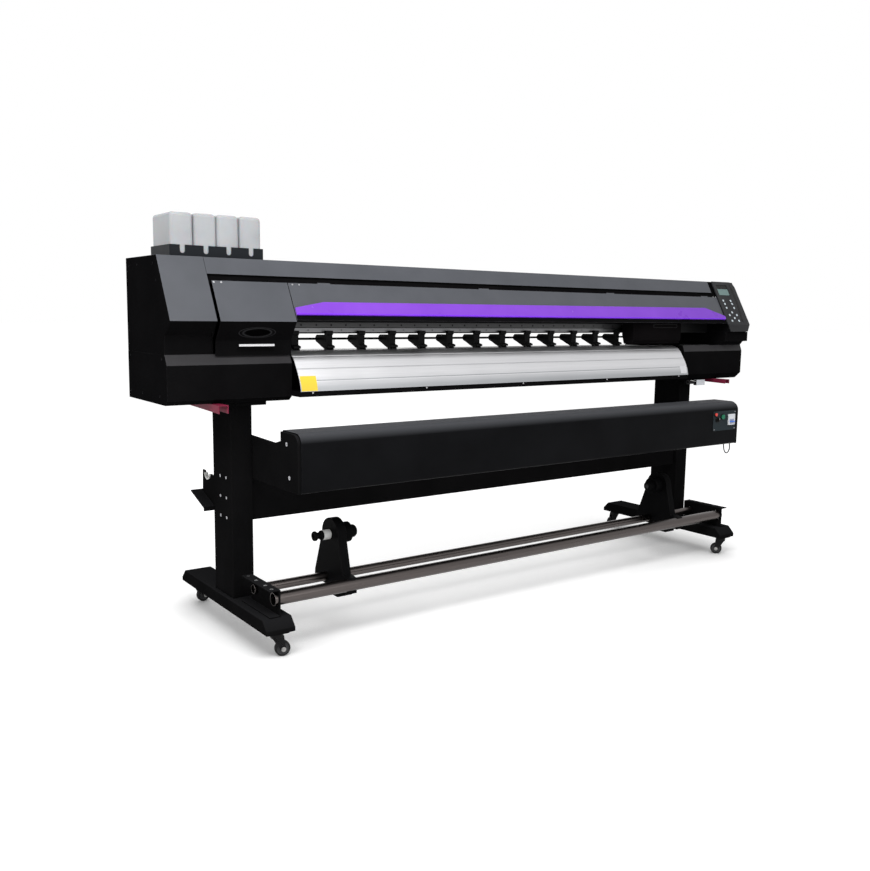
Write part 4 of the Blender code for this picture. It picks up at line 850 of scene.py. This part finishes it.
screw_spots = ((-0.120, 0.815), (0.040, 0.815), (0.150, 0.815), (-0.145, 0.930), (0.150, 0.930))
for side in ("left", "right"):
    finished(f"housing_{side}", "machine", [body_black, shoulder_painted_highlight], is_shoulder, 0.0012)
for side, wall_x, facing in (("left", left_wall, -pi / 2), ("right", right_wall, pi / 2)):
    add_screws(f"housing_screws_{side}", [(wall_x, stand_y + y, z) for y, z in screw_spots], "machine",
               body_black, 0.0045, 0.0018, (0.0, facing, 0.0))


# --- Slanted covers --------------------------------------------------------------------------------
# The left side cover and the long top cover are formed from sheet and sprayed a fine satin grey on
# the slanted front and top, black elsewhere; a black recessed strip runs under the top band.
cover_grey = coated("cover_satin_grey", (0.068, 0.072, 0.082), (0.084, 0.088, 0.100), (0.32, 0.44), 1500.0,
                    0.10, (0.20, 0.20, 0.21), 0.15)

slope_point = Vector((0.0, stand_y - 0.223, 1.045))
proud_by = 0.0015
slope_rise = Vector((0.0, 0.107, 0.195)).normalized()
slope_out = Vector((0.0, -slope_rise.z, slope_rise.y))
slope_turn = (pi / 2 - atan2(slope_rise.y, slope_rise.z), 0.0, 0.0)


def on_slope(x, z, out=0.0):
    """A point over the slanted front, at a height and a distance out from the sheet."""
    along = (z - slope_point.z) / slope_rise.z
    place = slope_point + slope_rise * along + slope_out * out
    return Vector((x, place.y, place.z))


def depth_of(centre):
    """How far a point stands out of the plane of the slanted front."""
    return (centre - slope_point).dot(slope_out)


def cover_rule(centre, normal):
    """Grey on the slanted front and the top, black on ends, undersides and the recessed strip."""
    front = normal.dot(slope_out) > 0.99 and abs(depth_of(centre)) < proud_by
    top = normal.z > 0.99 and centre.z > cad_high.z - 0.20
    return 0 if front or top else 1


finished("left_panel", "machine", [cover_grey, body_black], cover_rule, 0.0012)
finished("top_cover", "machine", [cover_grey, body_black], cover_rule, 0.0010)
panel_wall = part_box("left_panel")[0].x
panel_spots = ((-0.085, 1.215), (-0.110, 1.165), (0.060, 1.215), (0.140, 1.215), (0.150, 1.010))
end_screws = [(panel_wall, stand_y + y, z) for y, z in panel_spots]
add_screws("panel_screws", end_screws, "machine", body_black, 0.0042, 0.0016,
           (0.0, -pi / 2, 0.0))
rear_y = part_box("top_cover")[1].y
rear_screws = [(-1.15 + 0.23 * i, rear_y, 1.222) for i in range(11)]
add_screws("rear_cover_screws", rear_screws, "machine", body_black, 0.0042, 0.0016,
           (-pi / 2, 0.0, 0.0))


# --- Maintenance cover -----------------------------------------------------------------------------
# A hinged steel cover over the left bay: grey on its slanted face, black on the face that turns
# under, with an oval finger cup above a polished bar handle and two bright screws at its hinge.
finished("maintenance_cover", "maintenance_cover", [cover_grey, body_black], cover_rule,
         0.0012)
polished = metal("polished_aluminium", (0.62, 0.62, 0.64), (0.18, 0.30), 300.0, (0.08, 1.0, 1.0))
handle_low, handle_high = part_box("maintenance_handle")
dress("maintenance_handle", "maintenance_cover", polished, 0.0016, 3)
cover_screw = metal("bright_screw", (0.42, 0.42, 0.43), (0.30, 0.42), 500.0)
add_screws("maintenance_screws", [on_slope(x, 1.163) for x in (-1.234, -1.210)], "maintenance_cover",
           cover_screw, 0.0030, 0.0012, slope_turn)


def dished(name, middle, across, rise, width, height, depth, rim, sides=48, rings=8):
    """An oval pull cup on a sheet: a raised rim round a shallow hollow, closed at its back."""
    out = across.cross(rise).normalized()
    quarters = [pi / 2 * i / rings for i in range(1, rings)]
    steps = [(1.00, 0.0)] + [(1.00 - 0.10 * i / 3, rim * sin(pi / 2 * i / 3)) for i in range(1, 4)]
    steps += [(0.90 * cos(turn), rim - depth * sin(turn) ** 2) for turn in quarters]
    builder = bmesh.new()
    loops = []
    for scale, lift in steps:
        loop = [middle + across * (width / 2 * scale * cos(2 * pi * i / sides))
                + rise * (height / 2 * scale * sin(2 * pi * i / sides)) + out * lift for i in range(sides)]
        loops.append([builder.verts.new(place) for place in loop])
    for first, second in zip(loops, loops[1:]):
        for i in range(sides):
            j = (i + 1) % sides
            builder.faces.new((first[i], first[j], second[j], second[i]))
    builder.faces.new(loops[-1])
    builder.faces.new(loops[0])
    bmesh.ops.recalc_face_normals(builder, faces=builder.faces)
    return mesh_from(builder, name)


under_low = Vector((0.0, stand_y - 0.180, 0.985))
under_rise = (slope_point - under_low).normalized()
cup_middle = under_low.lerp(slope_point, 0.42) + Vector(((handle_low.x + handle_high.x) / 2, 0.0, 0.0))
recess = dished("finger_recess", cup_middle, Vector((1.0, 0.0, 0.0)), under_rise, 0.125, 0.042, 0.0006,
                0.0002)
place_piece("finger_recess", recess, "maintenance_cover", [body_black])


# --- Front cover -----------------------------------------------------------------------------------
# One long hinged cover, satin grey like its neighbours, with a gloss purple moulding along its lower
# half and a black return below.  Small bright screws hold its ends; purple-painted screws hold the moulding.
cover_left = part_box("front_cover")[0].x
cover_right = 1.215
purple_gloss = coated("purple_moulding", (0.190, 0.052, 0.520), (0.225, 0.068, 0.575), (0.24, 0.36), 900.0,
                      0.05, (0.40, 0.22, 0.75), 0.10)
# A deeper copy of the purple for the moulding's lower edge and lip: painted shade.
purple_painted_shade = coated("purple_lip_painted_shade", (0.170, 0.022, 0.700), (0.205, 0.033, 0.780), (0.24, 0.36), 900.0, 0.05,
                     (0.38, 0.18, 0.80), 0.10)


def front_rule(centre, normal):
    """Purple on everything that stands proud, a deeper purple on its lower edge as painted shade; grey face;
    black return.
    """
    if depth_of(centre) > proud_by:
        return 2 if normal.dot(slope_rise) < -0.3 else 1
    return 0 if normal.dot(slope_out) > 0.99 else 3


finished("front_cover", "front_cover", [cover_grey, purple_gloss, purple_painted_shade, body_black],
         front_rule, 0.0012, 3)


def slope_plate(name, corners, back, front):
    """A thin plate parallel to the slanted front from (x, z) corners, between two distances out."""
    return prism(name, *([on_slope(x, z, out) for x, z in corners] for out in (back, front)))


def slope_band(name, left, right_low, right_high, z0, z1, back, front):
    """A plate between two heights whose right end may slant."""
    return slope_plate(name, [(left, z0), (right_low, z0), (right_high, z1), (left, z1)], back, front)


return_strip = slope_band("cover_return", cover_left + 0.001, cover_right - 0.001, cover_right - 0.001,
                          1.0502, 1.0648, -0.0004, 0.0006)
place_piece("cover_return", return_strip, "front_cover", [body_black])
lip_strip = slope_band("moulding_lip", cover_left + 0.003, cover_right - 0.010, cover_right - 0.006, 1.0652,
                       1.0695, 0.0056, 0.0064)
place_piece("moulding_lip", lip_strip, "front_cover", [purple_painted_shade])
hinge_spots = ((-0.968, 1.163), (-0.944, 1.163), (1.191, 1.169), (1.209, 1.169))
add_screws("front_cover_screws", [on_slope(x, z) for x, z in hinge_spots], "front_cover", cover_screw,
           0.0028, 0.0012, slope_turn)
add_screws("moulding_screws", [on_slope(x, 1.089, 0.006) for x in (-0.920, 0.245)], "front_cover",
           purple_gloss, 0.0032, 0.0010, slope_turn)


# --- Control console -------------------------------------------------------------------------------
# A dark moulded console on the slanted end block: a display behind a recessed window, twelve pale
# round keys, and a low gloss rib down its right edge.
console_dark = coated("console_charcoal", (0.017, 0.0175, 0.019), (0.026, 0.0265, 0.0285), (0.30, 0.42),
                      1400.0, 0.12, (0.07, 0.07, 0.075), 0.08)
display_glass = coated("display_grey_green", (0.110, 0.180, 0.175), (0.145, 0.225, 0.215), (0.12, 0.20),
                       600.0, 0.02, (0.2, 0.28, 0.27), 0.25)
key_pale = coated("key_pale_grey", (0.48, 0.55, 0.60), (0.58, 0.65, 0.70), (0.26, 0.38), 1200.0, 0.04,
                  (0.70, 0.75, 0.80), 0.30)
console_face = 0.005


def console_rule(centre, normal):
    """Charcoal body with a gloss black floor in the display window."""
    return 1 if depth_of(centre) < console_face - proud_by and normal.dot(slope_out) > 0.9 else 0


finished("console", "machine", [console_dark, gloss_black], console_rule, 0.0016, 3)
window = slope_band("display", 1.2405, 1.3155, 1.3155, 1.177, 1.205, 0.0026, 0.0042)
break_edges(place_piece("display", window, "machine", [display_glass]), 0.0006)


def make_key_tree():
    """Round membrane keys on points: a low dome, turned to face the operator."""
    tree, given = new_growth("keys", {"Radius": 0.0056, "Height": 0.0016, "Turn X": 0.0, "Finish": None})
    ball = add_node(tree, "GeometryNodeMeshUVSphere", {"Segments": 24, "Rings": 12, "Radius": 1.0})
    size = combined(tree, X=given["Radius"], Y=given["Radius"], Z=given["Height"])
    dome = moved(tree, ball.outputs["Mesh"], Scale=size)
    angle = add_node(tree, "FunctionNodeEulerToRotation", {0: combined(tree, X=given["Turn X"])})
    stand_on(tree, cloud_of(tree, given), dome, given["Finish"], angle.outputs["Rotation"], smooth=True)
    return tree


key_tree = make_key_tree()
key_places = [(1.249, 1.151), (1.304, 1.151), (1.252, 1.1365), (1.3065, 1.1365), (1.2525, 1.118),
              (1.309, 1.118), (1.2805, 1.0975), (1.254, 1.085), (1.308, 1.085), (1.283, 1.0715),
              (1.2565, 1.059), (1.3075, 1.059)]
keys = grown("console_keys", key_tree, {"Turn X": slope_turn[0], "Finish": key_pale},
             [on_slope(x, z, console_face) for x, z in key_places])
place_piece("console_keys", keys, "machine", [key_pale])
rib_corners = [(1.326, 1.056), (1.340, 1.052), (1.352, 1.130), (1.354, 1.205), (1.344, 1.224), (1.337, 1.222),
               (1.341, 1.200), (1.338, 1.130)]
rib = slope_plate("console_rib", rib_corners, console_face - 0.0008, console_face + 0.0007)
break_edges(place_piece("console_rib", rib, "machine", [gloss_black]), 0.0010, 3)


# --- Channels under the body -----------------------------------------------------------------------
# Two folded steel channels, painted crimson, stick out below the body at each end, open at the front.
# Their folds are rounded, and their edges are painted paler: partly rubbed paint, partly painted highlight.
crimson_paint = coated("crimson_paint", (0.170, 0.013, 0.036), (0.225, 0.022, 0.052), (0.34, 0.46), 1100.0,
                       0.10, (0.50, 0.17, 0.24), 0.06)
for side in ("left", "right"):
    dress(f"channel_{side}", "machine", crimson_paint, 0.0008)


# --- Bed and media guide ---------------------------------------------------------------------------
# The chassis carries a black anodised bed; in front of it hangs the curved guide, extruded aluminium
# with long fine grooves, held along its foot by a black strip with small screws.
bed_black = coated("anodised_black", (0.0060, 0.0060, 0.0063), (0.0100, 0.0100, 0.0105), (0.28, 0.40),
                   900.0, 0.10, (0.06, 0.06, 0.06), 0.05)
# Its upright faces get a darker grey as painted shade; faces that look upward stay paler.
guide_silver = metal("extruded_aluminium", (0.64, 0.64, 0.655), (0.34, 0.46), 420.0, (0.015, 1.0, 1.0),
                     0.03, 0.10, upright=(0.27, 0.282, 0.295))
dress("chassis_beam", "machine", body_black, 0.0010)
dress("platen", "machine", bed_black, 0.0008)
guide_low, guide_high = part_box("front_guide")
guide_path = [(-0.131, 0.950), (-0.155, 0.9455), (-0.176, 0.938), (-0.192, 0.923), (-0.205, 0.904),
              (-0.219, 0.882), (-0.230, 0.860), (-0.2365, 0.842), (-0.2405, 0.8230)]
skin = smooth_route([(0.0, stand_y + y, z) for y, z in guide_path], 10)


def grooved_outline(route, thickness, grooves, depth):
    """The guide's section: its outer curve with fine grooves pressed in, and its inner curve."""
    outer = []
    inner = []
    count = len(route)
    for i, place in enumerate(route):
        ahead = route[min(i + 1, count - 1)] - route[max(i - 1, 0)]
        out = Vector((0.0, ahead.z, -ahead.y)).normalized()
        out = out if out.y < 0 or out.z > 0.5 else -out
        sunk = depth if i in grooves else 0.0
        outer.append(place - out * sunk)
        inner.append(place - out * thickness)
    return [(p.y, p.z) for p in outer + inner[::-1]]


groove_rows = {24, 44, 62}
guide_outline = grooved_outline(skin, 0.0026, groove_rows, 0.0008)
guide = extruded("front_guide", guide_outline, guide_low.x, guide_high.x)
place_piece("front_guide_finished", guide, "machine", [guide_silver], ["front_guide"], 24.0)
foot_strip_y = stand_y - 0.2385
strip_screws = [(x, foot_strip_y, 0.8185) for x in (-0.938, -0.488, -0.037, 0.419, 0.871)]
add_screws("guide_strip_screws", strip_screws, "machine", cover_screw, 0.0032, 0.0014,
           (pi / 2, 0.0, 0.0))


# --- Stickers --------------------------------------------------------------------------------------
# Two plain vinyl stickers on the guide, at its left and right ends: one yellow, one pale, both blank.
# Each is a thin film laid along the guide's curve.
sticker_yellow = coated("vinyl_yellow", (0.72, 0.50, 0.020), (0.80, 0.58, 0.035), (0.34, 0.46), 1500.0,
                        0.03, (0.85, 0.70, 0.2))
sticker_pale = coated("vinyl_pale", (0.60, 0.60, 0.62), (0.68, 0.68, 0.70), (0.34, 0.46), 1500.0, 0.03,
                      (0.8, 0.8, 0.8))


def sticker(name, x0, x1, z0, z1, finish):
    """A thin film that follows the guide's curve between two heights."""
    rows = [p for p in smooth_route(skin, 2) if z0 <= p.z <= z1]
    under, over = [], []
    for i, place in enumerate(rows):
        ahead = rows[min(i + 1, len(rows) - 1)] - rows[max(i - 1, 0)]
        out = Vector((0.0, ahead.z, -ahead.y)).normalized()
        out = out if out.y < 0 else -out
        under.append(place + out * 0.0001)
        over.append(place + out * 0.0004)
    near, far = ([(x, place.y, place.z) for place in under + over[::-1]] for x in (x0, x1))
    place_piece(name, prism(name, near, far, open_ends=True), "machine", [finish])


sticker("sticker_left", -0.979, -0.921, 0.8235, 0.873, sticker_yellow)
sticker("sticker_right", 0.885, 0.925, 0.830, 0.862, sticker_pale)


# --- Head beam and pinch arms ----------------------------------------------------------------------
# A black box beam spans the opening.  Its face carries a dark strip drilled at a regular pitch over
# a paler anodised strip; below it hang the moulded arms with their small rollers.
strip_dark = coated("rail_strip_dark", (0.022, 0.022, 0.024), (0.034, 0.034, 0.036), (0.28, 0.40), 800.0,
                    0.08, (0.12, 0.12, 0.12))
strip_grey = metal("rail_strip_grey", (0.16, 0.16, 0.165), (0.30, 0.42), 400.0, (0.02, 1.0, 1.0))
arm_black = coated("arm_moulded_black", (0.0055, 0.0055, 0.0058), (0.0090, 0.0090, 0.0093), (0.34, 0.48),
                   1300.0, 0.16, (0.04, 0.04, 0.04), 0.04)
dress("pinch_beam", "machine", bed_black, 0.0006, 1)
strip_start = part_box("pinch_beam")[0].x + 0.004
strip_end = 0.960
beam_front = stand_y - 0.098


arm_pitch = 0.1285
drilled_front = beam_front - 0.0015
pale_front = beam_front - 0.0006
drilled = bar("drilled_strip", (strip_start, drilled_front, 1.0245),
              (strip_end, beam_front - 0.0002, 1.0420))
break_edges(place_piece("drilled_strip", drilled, "machine", [strip_dark]), 0.0004, 1)
pale = bar("pale_strip", (strip_start, pale_front, 1.0085), (strip_end, beam_front - 0.0001, 1.0225))
break_edges(place_piece("pale_strip", pale, "machine", [strip_grey]), 0.0001, 1)
holes = [(-0.907 + 0.0575 * i, drilled_front, 1.0330) for i in range(32)]
add_screws("strip_hole_eyelets", holes, "machine", gloss_black, 0.0034, 0.0004,
           (pi / 2, 0.0, 0.0))
marks = [(-0.880 + arm_pitch * i, pale_front, 1.0155) for i in range(14)]
add_screws("strip_screws", marks, "machine", black_screw, 0.0028, 0.0010,
           (pi / 2, 0.0, 0.0))

dress("pinch_arms", "pinch_arms", arm_black, 0.0010)
roller_rubber = coated("roller_rubber", (0.022, 0.022, 0.023), (0.034, 0.034, 0.035), (0.55, 0.70), 900.0,
                       0.20, (0.06, 0.06, 0.06))
tyre_band = [(0.0050, 0.0008), (0.0074, 0.0008), (0.0078, 0.000768), (0.0078, -0.000768), (0.0074, -0.0008),
             (0.0050, -0.0008), (0.0050, 0.0008)]
tyre_places = [(-0.9355 + arm_pitch * i + shift, stand_y - 0.110, 0.9492) for i in range(13)
               for shift in (-0.0140, 0.0140)]
sleeves = [lathe("sleeve", tyre_band, place, (1.0, 0.0, 0.0), 24) for place in tyre_places]
sleeve_mesh = joined("pinch_roller_tyres", sleeves)
place_piece("pinch_roller_tyres", sleeve_mesh, "pinch_arms", [roller_rubber])


# --- Grit roller -----------------------------------------------------------------------------------
# A steel feed roller lies in the bed's trough under the pinch arms, blasted to a dull grain so that
# it grips the sheet.
roller_steel = metal("grit_roller_steel", (0.48, 0.47, 0.46), (0.36, 0.52), 900.0)
dress("grit_roller", "grit_roller", roller_steel)


# --- Print head carriage ---------------------------------------------------------------------------
# The head carriage hangs on the beam under a dark moulded cover with rounded edges.  Four slim bars
# make a thin raised frame on its face.
carriage_dark = coated("carriage_dark", (0.0042, 0.0038, 0.0041), (0.0064, 0.0056, 0.0060), (0.34, 0.48),
                       1200.0, 0.14, (0.03, 0.026, 0.026), 0.0)
dress("carriage", "carriage", carriage_dark, 0.0015, 3)
carriage_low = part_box("carriage")[0]
left, right = carriage_low.x + 0.125, carriage_low.x + 0.280
frame_sides = [(left, 1.0410, right, 1.0430), (left, 1.0280, right, 1.0300),
               (left, 1.0280, left + 0.003, 1.0430), (right - 0.003, 1.0280, right, 1.0430)]
head_frame = joined("carriage_frame", [
    bar("frame_bar", (x0, carriage_low.y - 0.0006, z0), (x1, carriage_low.y + 0.0010, z1))
    for x0, z0, x1, z1 in frame_sides])
place_piece("carriage_frame", head_frame, "carriage", [arm_black])


# --- Belt, motor and cap station -------------------------------------------------------------------
# Inside, a toothed belt runs from an idler to the motor along the beam, and the cap station under
# the parked carriage has two soft seals in a sprung tray.
dress("belt", "machine", rubber)
dress("drive_motor", "machine", body_black, 0.0008)
dress("capping_station", "capping_station", rubber, 0.0005)


# --- Lift lever ------------------------------------------------------------------------------------
# A pressed steel arm on a pin under the right housing lifts the pinch arms.  It ends in a slipped-on
# white grip, with a white-sleeved return wire beside it.
lever = dress("lift_lever", "lift_lever", castor_black, 0.0022, 3)
lever_low, lever_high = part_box("lift_lever")
grip_start = lever_high.x - 0.061


def grip_rule(centre, _):
    """White on the grip, black on the arm that runs into it."""
    off_middle = abs(centre.y - (lever_low.y + lever_high.y) / 2)
    past_arm = off_middle > 0.004 or centre.x > grip_start + 0.008
    return 1 if centre.x > grip_start - 0.0002 and past_arm else 0


lever.data.materials.append(breaker_white)
assign_by(lever.data, grip_rule)
wire_start = Vector((lever_low.x + 0.024, lever_low.y + 0.0015, lever_high.z - 0.0015))
wire_end = Vector((grip_start + 0.004, lever_low.y + 0.0060, lever_low.z + 0.0180))
wire_way = wire_end - wire_start
wire_half = wire_way.length / 2
wire_section = [(0.0, wire_half), (0.0013, wire_half), (0.0013, -wire_half), (0.0, -wire_half)]
wire = lathe("return_wire", wire_section, (wire_start + wire_end) / 2, wire_way.normalized(), 16)
place_piece("return_wire", wire, "lift_lever", [white_nylon])


# --- Ink supply ------------------------------------------------------------------------------------
# Four square bottles, blow-moulded in translucent white polythene, stand in a folded black tray with
# a notch for each bottle's spout.
rack_black = coated("rack_black", (0.0105, 0.0120, 0.0145), (0.0150, 0.0170, 0.0200), (0.36, 0.48), 1200.0,
                    0.12, (0.06, 0.06, 0.06), 0.05)
dress("ink_rack", "machine", rack_black, 0.0010)


def make_bottle_finish():
    """Milky polythene: soft light through the wall, slight cloudiness and faint moulding ripple."""
    made = new_material("milky_polythene")
    tree = made.node_tree
    shader = shader_of(made, Specular_IOR_Level=0.20, Subsurface_Weight=0.30, Subsurface_Scale=0.010)
    marks = use_group(tree, surface_group, Grain_Scale=500.0, Smudge_Scale=9.0)
    tone = ranged(tree, marks["Smudge"], 0.0, 1.0, -0.25, 0.25)
    tree.links.new(mix_colours(tree, tone, (0.34, 0.35, 0.365), (0.43, 0.44, 0.455)),
                   shader.inputs["Base Color"])
    tree.links.new(ranged(tree, marks["Smudge"], 0.28, 0.40, -0.25, 0.25), shader.inputs["Roughness"])
    add_bump(tree, shader, marks["Height"], 0.06, 0.0003)
    return made


milky = make_bottle_finish()
for number in range(1, 5):
    low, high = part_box(f"ink_bottle_{number}")
    builder = box_builder(low, high)
    upright_edges = [e for e in builder.edges if abs(e.verts[0].co.z - e.verts[1].co.z) > 0.01]
    bmesh.ops.bevel(builder, geom=upright_edges, offset=0.0125, segments=6, profile=0.5, affect="EDGES")
    top_edges = [e for e in builder.edges if min(v.co.z for v in e.verts) > high.z - 0.0001]
    bmesh.ops.bevel(builder, geom=top_edges, offset=0.0120, segments=6, profile=0.5, affect="EDGES")
    bmesh.ops.recalc_face_normals(builder, faces=builder.faces)
    place_piece(f"ink_bottle_{number}_finished", mesh_from(builder, f"bottle_{number}"), "machine", [milky],
                [f"ink_bottle_{number}"], 50.0)
